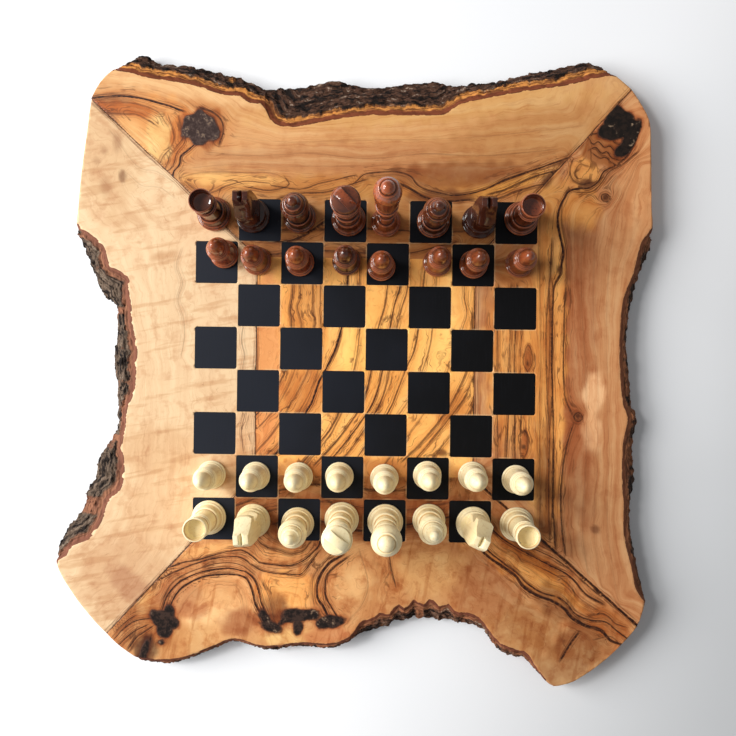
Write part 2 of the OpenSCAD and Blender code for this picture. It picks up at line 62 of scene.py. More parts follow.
# The growth surface: the pitch of its knots, the unit that it is worked out in, and how far it gives.
KNOT_PITCH = 9.0
KNOT_UNIT = 100.0
PLATE_GIVE = 0.002
# The dark lines: the pitch of their points, how far they reach, and how far they run on past an end.
LINE_PITCH = 1.0
LINE_REACH = 6.0
LINE_END_FADE = 4.0
# Between which distances a dark line fades out, and how clear of the next line it keeps its strength.
LINE_FADE = (2.8, 4.5)
CROWDED_FROM = 0.7
CLEAR = (0.6, 2.0)
MARGIN, MARGIN_GROWS = 1.2, (1.2, 2.4)
# The wild figure: the strength of the lines that it lies beside, their pitch, and how far it reaches.
WILD_STRENGTH = 0.4
WILD_PITCH = 2.0
WILD_REACH = 13.0
# Stands for a distance past which nothing shows.
FAR_OFF = 20.0

Point = tuple[float, float]
Colour = tuple[float, float, float]


def paint(red: int, green: int, blue: int) -> Colour:
    """Turns a colour as seen on a screen into the linear values that shaders use.

    Args:
        red: Red, 0 to 255.
        green: Green, 0 to 255.
        blue: Blue, 0 to 255.

    Returns:
        The linear colour, 0 to 1.
    """

    def linear(value: float) -> float:
        """One channel of the colour."""
        part = value / 255
        return part / 12.92 if part <= 0.04045 else ((part + 0.055) / 1.055) ** 2.4

    return linear(red), linear(green), linear(blue)


class Signal:
    """A socket's value in a shader, with the arithmetic that adds its Math nodes."""

    def __init__(self, recipe: "Recipe", socket: bpy.types.NodeSocket) -> None:
        """Wraps an output socket of a recipe."""
        self.recipe = recipe
        self.socket = socket

    def _math(self, operation: str, *values: Any) -> "Signal":
        """Adds one Math node over this signal and others."""
        return self.recipe.add("ShaderNodeMath", {"operation": operation}, dict(enumerate(values)))

    def __add__(self, other: Any) -> "Signal":
        """Sum."""
        return self._math("ADD", self, other)

    def __radd__(self, other: Any) -> "Signal":
        """Sum with a number on the left."""
        return self._math("ADD", other, self)

    def __sub__(self, other: Any) -> "Signal":
        """Difference."""
        return self._math("SUBTRACT", self, other)

    def __rsub__(self, other: Any) -> "Signal":
        """Difference with a number on the left."""
        return self._math("SUBTRACT", other, self)

    def __mul__(self, other: Any) -> "Signal":
        """Product."""
        return self._math("MULTIPLY", self, other)

    def __rmul__(self, other: Any) -> "Signal":
        """Product with a number on the left."""
        return self._math("MULTIPLY", other, self)

    def __abs__(self) -> "Signal":
        """Size without the sign."""
        return self._math("ABSOLUTE", self)

    def most(self, other: Any) -> "Signal":
        """The larger of two."""
        return self._math("MAXIMUM", self, other)

    def least(self, other: Any) -> "Signal":
        """The smaller of two."""
        return self._math("MINIMUM", self, other)

    def over(self, low: Any, high: Any) -> "Signal":
        """Goes smoothly from 0 at low to 1 at high."""
        inputs = {"Value": self, "From Min": low, "From Max": high}
        return self.recipe.add("ShaderNodeMapRange", {"interpolation_type": "SMOOTHSTEP"}, inputs)

    def off_line(self, pitch: float) -> "Signal":
        """Distance to the nearest line of an even set at 0, pitch, twice pitch and so on."""
        return self._math("PINGPONG", self, pitch / 2)


class Recipe:
    """The node tree of one material."""

    def __init__(self, name: str) -> None:
        """Starts an empty material, with its Object coordinates in millimetres.

        Args:
            name: The material's name.
        """
        self.material = bpy.data.materials.new(name)
        self.material.use_nodes = True
        self.tree = self.material.node_tree
        self.tree.nodes.clear()
        metres = self.add("ShaderNodeTexCoord", output="Object")
        self.place = self.scaled(metres, (1 / MM,) * 3)

    def node(self, kind: str, settings: dict | None = None, inputs: dict | None = None) -> bpy.types.Node:
        """Adds one node.

        Args:
            kind: The node's type.
            settings: Its own settings, set before its sockets.
            inputs: Values or signals by socket name or number.

        Returns:
            The node.
        """
        node = self.tree.nodes.new(kind)
        for key, value in (settings or {}).items():
            setattr(node, key, value)
        for key, value in (inputs or {}).items():
            socket = node.inputs[key]
            if isinstance(value, Signal):
                self.tree.links.new(value.socket, socket)
            elif socket.type == "RGBA":
                socket.default_value = (*value, 1.0)
            else:
                socket.default_value = value
        return node

    def add(
        self, kind: str, settings: dict | None = None, inputs: dict | None = None, output: Any = 0
    ) -> Signal:
        """Adds one node and takes its output of a name or number as a signal."""
        return Signal(self, self.node(kind, settings, inputs).outputs[output])

    def scaled(self, vector: Signal, factors: Sequence[float]) -> Signal:
        """Multiplies a vector signal by three numbers."""
        return self.add("ShaderNodeVectorMath", {"operation": "MULTIPLY"}, {0: vector, 1: tuple(factors)})

    def parts(self, vector: Signal) -> tuple[Signal, Signal, Signal]:
        """Splits a vector signal into its three numbers."""
        node = self.node("ShaderNodeSeparateXYZ", None, {0: vector})
        return tuple(Signal(self, socket) for socket in node.outputs)

    def joined(self, x: Any, y: Any, z: Any) -> Signal:
        """Joins three numbers into a vector signal."""
        return self.add("ShaderNodeCombineXYZ", None, {0: x, 1: y, 2: z})

    def attribute(self, name: str, output: str = "Fac") -> Signal:
        """Reads an attribute of the mesh."""
        return self.add("ShaderNodeAttribute", {"attribute_name": name}, output=output)

    def grain(self, vector: Signal, scale: float, detail: float = 2.0, rough: float = 0.5) -> Signal:
        """Noise round 0.5 at a scale in cycles per unit of the vector."""
        inputs = {"Vector": vector, "Scale": scale, "Detail": detail, "Roughness": rough}
        return self.add("ShaderNodeTexNoise", None, inputs)

    def streaks(self, x: Any, y: Any, z: Any, detail: float = 2.0, rough: float = 0.5) -> Signal:
        """Noise round 0.5 over three numbers, drawn out along the one that changes least."""
        return self.grain(self.joined(x, y, z), 1.0, detail, rough)

    def mix(self, factor: Any, first: Any, second: Any, blend: str = "MIX") -> Signal:
        """Mixes two colours."""
        settings = {"data_type": "RGBA", "blend_type": blend}
        return self.add("ShaderNodeMix", settings, {0: factor, 6: first, 7: second}, 2)

    def bump(self, height: Signal, depth: float) -> Signal:
        """Normal bent by a height from 0 to 1 that stands for depth millimetres."""
        return self.add("ShaderNodeBump", None, {"Height": height, "Distance": depth * MM})

    def finish(self, **sockets: Any) -> bpy.types.Material:
        """Ends the recipe in one Principled shader.

        Args:
            sockets: Values or signals by the shader's socket names, with _ for a space.

        Returns:
            The finished material.
        """
        inputs = {key.replace("_", " "): value for key, value in sockets.items()}
        surface = self.add("ShaderNodeBsdfPrincipled", None, inputs)
        self.node("ShaderNodeOutputMaterial", None, {"Surface": surface})
        return self.material


def only(piece: bpy.types.Object) -> None:
    """Selects one object, makes it active and deselects the rest.

    Args:
        piece: The object.
    """
    bpy.ops.object.select_all(action="DESELECT")
    piece.select_set(True)
    bpy.context.view_layer.objects.active = piece


@contextmanager
def editing(piece: bpy.types.Object, select: str = "SELECT") -> Iterator[None]:
    """Holds a piece in edit mode.

    Args:
        piece: The piece.
        select: SELECT to start with all of it selected, or DESELECT with nothing.

    Yields:
        Nothing, while the piece is in edit mode.
    """
    only(piece)
    bpy.ops.object.mode_set(mode="EDIT")
    bpy.ops.mesh.select_all(action=select)
    yield
    bpy.ops.object.mode_set(mode="OBJECT")


def placed(name: str, data: Any) -> bpy.types.Object:
    """Adds an object to the scene.

    Args:
        name: Its name.
        data: Its mesh, light or camera.

    Returns:
        The object.
    """
    thing = bpy.data.objects.new(name, data)
    bpy.context.scene.collection.objects.link(thing)
    return thing


def modify(piece: bpy.types.Object, kind: str, **settings: Any) -> None:
    """Adds a modifier to a piece and applies it.

    Args:
        piece: The piece.
        kind: The modifier's type.
        settings: Its settings.
    """
    only(piece)
    modifier = piece.modifiers.new(kind.lower(), kind)
    for key, value in settings.items():
        setattr(modifier, key, value)
    bpy.ops.object.modifier_apply(modifier=modifier.name)


def ease(piece: bpy.types.Object, width: float, segments: int, angle: float) -> None:
    """Rounds off every edge of a piece past an angle in degrees, by a width in millimetres."""
    limit = math.radians(angle)
    modify(piece, "BEVEL", width=width * MM, segments=segments, limit_method="ANGLE", angle_limit=limit)


def merged_copy(node: str, name: str) -> bpy.types.Object:
    """Copies a CAD node and joins its loose triangles into whole faces.

    Args:
        node: The CAD node.
        name: Name of the new piece.

    Returns:
        The copy, with its own mesh and no material.
    """
    piece = placed(name, bpy.data.objects[node].data.copy())
    piece.data.materials.clear()
    with editing(piece):
        bpy.ops.mesh.remove_doubles(threshold=0.00001)
        bpy.ops.mesh.dissolve_limited(angle_limit=math.radians(0.5))
    return piece


def dice(piece: bpy.types.Object, pitch: float) -> None:
    """Cuts a piece's faces into cells, by planes across X, Y and Z. The underside gets coarser ones.

    Args:
        piece: The piece, which stands on z = 0.
        pitch: Distance between the planes, in millimetres.
    """
    corners = [Vector(corner) / MM for corner in piece.bound_box]
    with editing(piece):
        for coarse in (True, False):
            if not coarse:
                bpy.ops.mesh.select_all(action="DESELECT")
                mesh = bmesh.from_edit_mesh(piece.data)
                for face in mesh.faces:
                    face.select_set(face.normal.z < -0.99)
                bpy.ops.mesh.hide()
            for axis in range(2 if coarse else 3):
                low = min(corner[axis] for corner in corners)
                high = max(corner[axis] for corner in corners)
                count = math.ceil((high - low) / pitch / UNDERSIDE_DICE) * UNDERSIDE_DICE
                normal = Matrix.Identity(3)[axis]
                stride = UNDERSIDE_DICE if coarse else 1
                for step in range(stride, count, stride):
                    height = (low + (high - low) * step / count) * MM
                    bpy.ops.mesh.select_all(action="SELECT")
                    bpy.ops.mesh.bisect(plane_co=normal * height, plane_no=normal)
        bpy.ops.mesh.reveal(select=False)


def dress(
    piece: bpy.types.Object,
    material: bpy.types.Material,
    node: str,
    slot: str,
    body: str,
    crisp: float = 40.0,
) -> None:
    """Gives a piece its finish and puts it in the place of a CAD node.

    Args:
        piece: The new piece.
        material: Its finish.
        node: The CAD node that it stands for.
        slot: The material slot that the finish belongs to; not used.
        body: The body that it rides on.
        crisp: Angle in degrees past which an edge stays crisp.
    """
    piece.data.materials.append(material)
    only(piece)
    bpy.ops.object.shade_smooth_by_angle(angle=math.radians(crisp))
    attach(piece, body)
    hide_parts(node)


def smooth_step(value: np.ndarray, low: float, high: float) -> np.ndarray:
    """Goes smoothly from 0 at low to 1 at high."""
    part = np.clip((value - low) / (high - low), 0, 1)
    return part * part * (3 - 2 * part)


def tree_of(places: np.ndarray) -> kdtree.KDTree:
    """Makes a search tree over places.

    Args:
        places: The places, one a row, of which only x and y count.

    Returns:
        The tree.
    """
    tree = kdtree.KDTree(len(places))
    for index, spot in enumerate(places):
        tree.insert((spot[0], spot[1], 0), index)
    tree.balance()
    return tree


def curve(points: Sequence[Point], step: float) -> np.ndarray:
    """Smooth curve through given points.

    Args:
        points: The points, in millimetres.
        step: Distance between the points of the curve.

    Returns:
        The curve's points, one a row.
    """
    given = np.array(points, dtype=float)
    padded = np.vstack([2 * given[0] - given[1], given, 2 * given[-1] - given[-2]])
    rows = []
    for before, start, end, after in zip(padded, padded[1:], padded[2:], padded[3:]):
        count = max(1, round(float(np.linalg.norm(end - start)) / step))
        part = np.arange(count)[:, None] / count
        rows.append(
            0.5
            * (
                2 * start
                + (end - before) * part
                + (2 * before - 5 * start + 4 * end - after) * part**2
                + (3 * start - before - 3 * end + after) * part**3
            )
        )
    return np.vstack([*rows, given[-1:]])


@dataclass(frozen=True)
class Vein:
    """One growth line of the wood, drawn through a few points in board millimetres.

    Args:
        level: Which growth ring the line is, counted from the bark.
        points: Points that the line runs through.
        strength: How dark it is, 0 for a line that only guides the grain.
        width: Width of its dark core.
        layer: 0 or 1, so that two dark lines close together are kept apart.
    """

    level: float
    points: tuple[Point, ...]
    strength: float = 0.0
    width: float = 0.9
    layer: int = 0


@dataclass(frozen=True)
class Oval:
    """A ragged oval on the wood, such as a pocket of bark: its middle and size in board millimetres."""

    x: float
    y: float
    across: float
    along: float
    turn: float

    def depth(self, x: np.ndarray, y: np.ndarray) -> np.ndarray:
        """Measures how far in from the oval's ragged edge each place is.

        Args:
            x: Places along the ranks.
            y: Places along the files.

        Returns:
            The depth as a share of the radius, negative outside the oval.
        """
        cos, sin = math.cos(math.radians(self.turn)), math.sin(math.radians(self.turn))
        east, north = x - self.x, y - self.y
        right = (east * cos + north * sin) / (self.across / 2)
        up = (north * cos - east * sin) / (self.along / 2)
        ragged = 0.08 * np.sin(0.45 * x + 0.3 * y) + 0.08 * np.sin(0.33 * y - 0.5 * x + 2)
        return 1 - np.hypot(right, up) + ragged


@dataclass(frozen=True)
class Patch(Oval):
    """A soft-edged oval of another colour in the wood."""

    colour: Colour
    strength: float = 1.0
    soft: float = 0.35

    def share(self, x: np.ndarray, y: np.ndarray) -> np.ndarray:
        """How much of the patch's colour each place takes."""
        return self.strength * smooth_step(self.depth(x, y), -self.soft, self.soft)


@dataclass(frozen=True)
class Figure:
    """The figure of one board: its ground colour, growth lines, coloured patches and bark pockets."""

    ground: Colour
    veins: tuple[Vein, ...]
    patches: tuple[Patch, ...] = ()
    pockets: tuple[Oval, ...] = ()
    slope: float = 0.12

    def growth(self, x: np.ndarray, y: np.ndarray) -> np.ndarray:
        """Growth rings as a smooth surface, a thin plate bent through all the growth lines.

        Args:
            x: Places along the ranks.
            y: Places along the files.

        Returns:
            The ring number at each place.
        """
        lines = [curve(vein.points, KNOT_PITCH) for vein in self.veins]
        knots = np.vstack(lines) / KNOT_UNIT
        levels = np.concatenate([np.full(len(line), vein.level) for line, vein in zip(lines, self.veins)])

        def plate(east: np.ndarray, north: np.ndarray) -> np.ndarray:
            """Bending of the plate by every knot."""
            square = (east[:, None] - knots[:, 0]) ** 2 + (north[:, None] - knots[:, 1]) ** 2
            return square * np.log(square + 1e-9)

        flat = np.column_stack([np.ones(len(knots)), knots])
        stiff = plate(knots[:, 0], knots[:, 1]) + PLATE_GIVE * np.eye(len(knots))
        system = np.block([[stiff, flat], [flat.T, np.zeros((3, 3))]])
        weights = np.linalg.solve(system, np.concatenate([levels, np.zeros(3)]))
        east, north = x / KNOT_UNIT, y / KNOT_UNIT
        return plate(east, north) @ weights[:-3] + weights[-3] + weights[-2] * east + weights[-1] * north

    def lines(self, x: np.ndarray, y: np.ndarray, layer: int) -> np.ndarray:
        """Finds the nearest dark line of a layer, faded where another line is nearly as near.

        Args:
            x: Places along the ranks.
            y: Places along the files.
            layer: The layer.

        Returns:
            The line's signed distance, strength and width, one row for each place.
        """
        found = np.zeros((len(x), 3))
        found[:, 2] = 1.0
        veins = [vein for vein in self.veins if vein.strength and vein.layer == layer]
        if not veins:
            return found
        lines = [curve(vein.points, LINE_PITCH) for vein in veins]
        tree = tree_of(np.vstack(lines))
        owners = []
        for number, line in enumerate(lines):
            ahead = np.gradient(line, axis=0)
            ahead /= np.linalg.norm(ahead, axis=1)[:, None]
            for index, spot in enumerate(line):
                owners.append((number, *spot, *ahead[index], index in (0, len(line) - 1)))
        nearest = np.full(len(x), -1)
        for row, (east, north) in enumerate(zip(x, y)):
            _, index, distance = tree.find((east, north, 0))
            if distance > LINE_REACH:
                continue
            number, px, py, tx, ty, ending = owners[index]
            vein = veins[number]
            dx, dy = east - px, north - py
            beyond = abs(dx * tx + dy * ty) if ending else 0.0
            strength = vein.strength * max(0.0, 1 - beyond / LINE_END_FADE)
            found[row] = (tx * dy - ty * dx, strength, vein.width)
            nearest[row] = number
        away = np.abs(found[:, 0])
        # Two lines that run close together both fade towards each other, so no seam shows between them.
        between = np.flatnonzero((nearest >= 0) & (away > CROWDED_FROM) & (away < LINE_FADE[1]))
        other = np.full(len(x), FAR_OFF)
        for number, line in enumerate(lines):
            rows = between[nearest[between] != number]
            gaps = np.hypot(x[rows, None] - line[::2, 0], y[rows, None] - line[::2, 1])
            other[rows] = np.minimum(other[rows], gaps.min(axis=1, initial=FAR_OFF))
        clear = other[between] - away[between] - smooth_step(away[between], *MARGIN_GROWS) * MARGIN
        found[between, 1] *= smooth_step(clear, *CLEAR)
        found[:, 1] *= 1 - smooth_step(away, *LINE_FADE)
        return found

    def wildness(self, x: np.ndarray, y: np.ndarray) -> np.ndarray:
        """Tells how strongly figured each place is.

        Args:
            x: Places along the ranks.
            y: Places along the files.

        Returns:
            1 on a strong growth line, falling to 0 away from it.
        """
        strong = [vein for vein in self.veins if vein.strength > WILD_STRENGTH and len(vein.points) > 2]
        if not strong:
            return np.zeros(len(x))
        tree = tree_of(np.vstack([curve(vein.points, WILD_PITCH) for vein in strong]))
        away = np.array([tree.find((east, north, 0))[2] for east, north in zip(x, y)])
        return 1 - smooth_step(away, 1.0, WILD_REACH)

    def write(self, mesh: bpy.types.Mesh) -> None:
        """Writes the figure to a mesh as attributes that the wood's material reads.

        Args:
            mesh: The mesh, in metres in the board's frame.
        """
        x, y, z = read(mesh.vertices, "co", 3).T / MM
        rings = self.growth(x, y) + (BOARD_TOP - z) * self.slope
        tone = np.tile(np.array([*self.ground, 1.0]), (len(x), 1))
        for patch in self.patches:
            share = patch.share(x, y)[:, None]
            tone = tone * (1 - share) + np.array([*patch.colour, 1.0]) * share
        pocket = np.full(len(x), -FAR_OFF)
        for hole in self.pockets:
            pocket = np.maximum(pocket, hole.depth(x, y) * min(hole.across, hole.along) / 2)
        put(mesh, "growth", "FLOAT", rings)
        put(mesh, "tone", "FLOAT_COLOR", tone)
        put(mesh, "pocket", "FLOAT", pocket)
        put(mesh, "wild", "FLOAT", self.wildness(x, y))
        for layer in (0, 1):
            put(mesh, f"vein_{layer}", "FLOAT_VECTOR", self.lines(x, y, layer))


def put(mesh: bpy.types.Mesh, name: str, kind: str, values: np.ndarray) -> None:
    """Stores one value a vertex as an attribute of a mesh."""
    key = {"FLOAT": "value", "FLOAT_VECTOR": "vector", "FLOAT_COLOR": "color"}[kind]
    mesh.attributes.new(name, kind, "POINT").data.foreach_set(key, np.ravel(values).astype(np.float32))


def read(items: Any, name: str, width: int) -> np.ndarray:
    """Reads one property of every vertex, corner or face of a mesh.

    Args:
        items: The mesh's vertices, corners or faces, or an attribute's data.
        name: The property.
        width: How many numbers each has.

    Returns:
        The values, one row each, or one number each where the width is 1.
    """
    values = np.empty(len(items) * width)
    items.foreach_get(name, values)
    return values.reshape(-1, width) if width > 1 else values


class Glue(Enum):
    """How the mitre between two slabs shows."""

    FINE = (0.55, 0.6)
    PLAIN = (0.85, 0.8)
    WIDE = (1.0, 1.7)


DARK_LINE = paint(44, 21, 12)
CREAM = paint(240, 212, 150)
NW_INNER, NE_INNER = (-76.5, 79.0), (76.5, 79.0)
SE_INNER, SW_INNER = (76.5, -74.0), (-76.5, -74.0)
NW_TIP, NE_TIP = (-195.0, 189.0), (185.0, 200.5)
SE_TIP, SW_TIP = (194.0, -177.0), (-179.5, -187.0)


def joint(start: Point, end: Point, glue: Glue, level: float = 6.0) -> Vein:
    """The dark glue line of a joint, as a straight line between two points."""
    strength, width = glue.value
    return Vein(level, (start, end), strength, width, 1)


NORTH_FIGURE = Figure(
    ground=paint(212, 168, 118),
    veins=(
        Vein(6, ((-197, 188.5), (-182, 190.5), (-168, 190.5), (-152, 187.5), (-140, 184),
                 (-131, 181)), 1, 1.3),
        Vein(6, ((-121, 158), (-126, 153.5), (-131, 149), (-132, 143), (-136, 138), (-137, 131)), 1, 1.2),
        Vein(7, ((-133, 176), (-131, 168), (-130, 162), (-134, 156), (-139, 150), (-140, 145),
                 (-143, 139)), 0.6),
        Vein(8, ((-140, 176), (-137, 168), (-136, 161), (-139, 154), (-144, 148), (-146, 143)), 0.5, 0.8),
        Vein(6.5, ((-128, 163), (-129, 158), (-134, 151), (-135.5, 145), (-139, 139)), 0.6, 0.7, 1),
        Vein(7, ((-190, 186), (-172, 186.5), (-160, 184.5), (-148, 180), (-142, 172)), 0.4, 0.7, 1),
        Vein(8.5, ((-192, 183), (-183, 179), (-172, 178), (-163, 178), (-155, 174), (-150, 171)), 0.5, 0.9),
        Vein(3.5, ((-104, 159), (-102, 166), (-103, 174), (-109, 180), (-117, 183)), 0.8, 1.1),
        Vein(4, ((-108, 160), (-105.5, 167), (-107, 174), (-112, 179)), 0.45, 0.8, 1),
        Vein(2, ((-95, 176), (-80, 172), (-62, 167), (-20, 168), (20, 171), (80, 178), (140, 186))),
        Vein(3.5, ((-98, 164), (-60, 160), (0, 162), (60, 164), (120, 170), (150, 174)), 0.12, 0.6),
        Vein(5, ((-112, 152), (-80, 150), (-40, 152), (0, 149), (40, 153), (80, 152), (130, 157)), 0.2, 0.8),
        Vein(6.5, ((-122, 141), (-90, 144), (-50, 143), (0, 144), (50, 146), (100, 147)), 0.12, 0.7),
        Vein(8, ((-131, 134), (-120, 137), (-105, 138.5), (-85, 138), (-68, 138), (-57, 134)), 0.3, 0.8),
        Vein(9, ((-128, 131), (-118, 124), (-108, 124), (-98, 129), (-85, 132), (-70, 131)), 0.55, 0.8),
        Vein(9, ((-57, 134), (-55, 130), (-62, 127), (-72, 126), (-84, 128)), 0.6, 0.8, 1),
        Vein(9, ((-66, 129), (-50, 127), (-42, 128), (-34, 131), (-22, 134), (-10, 137)), 0.65, 0.9),
        Vein(10, ((-60, 121), (-46, 124), (-30, 125), (-14, 130), (-2, 134)), 0.7, 1, 1),
        Vein(8, ((-8, 133), (-2, 138), (8, 139.5), (20, 140), (30, 137), (35, 131), (44, 127),
                 (58, 124)), 0.75),
        Vein(8, ((58, 124), (70, 125), (84, 129), (97, 135.5), (112, 141), (126, 146),
                 (140, 151)), 0.95, 1.1),
        Vein(9, ((22, 132), (32, 127), (42, 122), (56, 120), (72, 121)), 0.9, 1.6, 1),
        Vein(9.5, ((86, 125), (98, 129), (108, 134), (120, 139), (131, 142)), 0.8, 1, 1),
        Vein(10, ((78, 118), (92, 122), (104, 127), (116, 131), (126, 133)), 0.7, 1.1),
        Vein(12, ((-92, 118), (-60, 112), (-30, 116), (10, 112), (60, 114), (100, 117))),
        Vein(13, ((-90, 100), (-50, 98), (0, 100), (50, 98), (92, 100)), 0.6, 1.2),
        Vein(12.5, ((-85, 92), (-60, 90), (-45, 94), (-30, 104)), 0.9, 1.4),
        Vein(15, ((-76, 80), (-30, 84), (20, 82), (50, 88), (62, 91)), 0.7, 1.2, 1),
        joint(NW_TIP, NW_INNER, Glue.FINE),
        joint(NE_TIP, NE_INNER, Glue.PLAIN, 4),
    ),
    patches=(
        Patch(-120, 197, 150, 16, -9, paint(232, 200, 154), 0.9),
        Patch(-70, 165, 70, 26, 0, paint(222, 180, 132), 0.7),
        Patch(40, 186, 240, 22, 5, paint(216, 176, 118), 0.8),
        Patch(0, 150, 260, 20, 1, paint(194, 146, 104), 0.75),
        Patch(60, 138, 90, 20, 2, paint(154, 100, 62), 0.8),
        Patch(115, 165, 130, 42, 12, paint(186, 140, 90), 0.7),
        Patch(0, 128, 260, 17, 0, paint(206, 156, 90), 0.9),
        Patch(-95, 133, 76, 9, -1, paint(246, 210, 140), 0.95),
        Patch(-35, 131, 50, 8, 4, paint(214, 162, 98), 0.7),
        Patch(100, 133, 60, 9, 18, paint(236, 190, 106), 0.9),
        Patch(50, 123, 50, 10, 2, paint(120, 74, 44), 0.8),
        Patch(-150, 165, 56, 56, 0, paint(228, 178, 116), 0.9, 0.2),
        Patch(-172, 182, 52, 10, -6, paint(190, 118, 56), 0.95, 0.25),
        Patch(-133, 163, 16, 44, -22, paint(206, 136, 68), 0.9, 0.3),
        Patch(-147, 161, 18, 34, 6, CREAM, 1, 0.15),
        Patch(-167, 166, 26, 18, -40, paint(232, 192, 134), 0.8),
        Patch(-112, 169, 22, 30, 0, paint(176, 114, 60), 0.9, 0.12),
        Patch(129, 137, 14, 9, 30, paint(92, 60, 40), 0.9),
        Patch(0, 96, 220, 46, 0, paint(180, 128, 74), 0.9),
        Patch(64, 138, 100, 17, 4, paint(148, 94, 56), 0.75),
    ),
    pockets=(Oval(-118, 169, 25, 23, -40),),
)

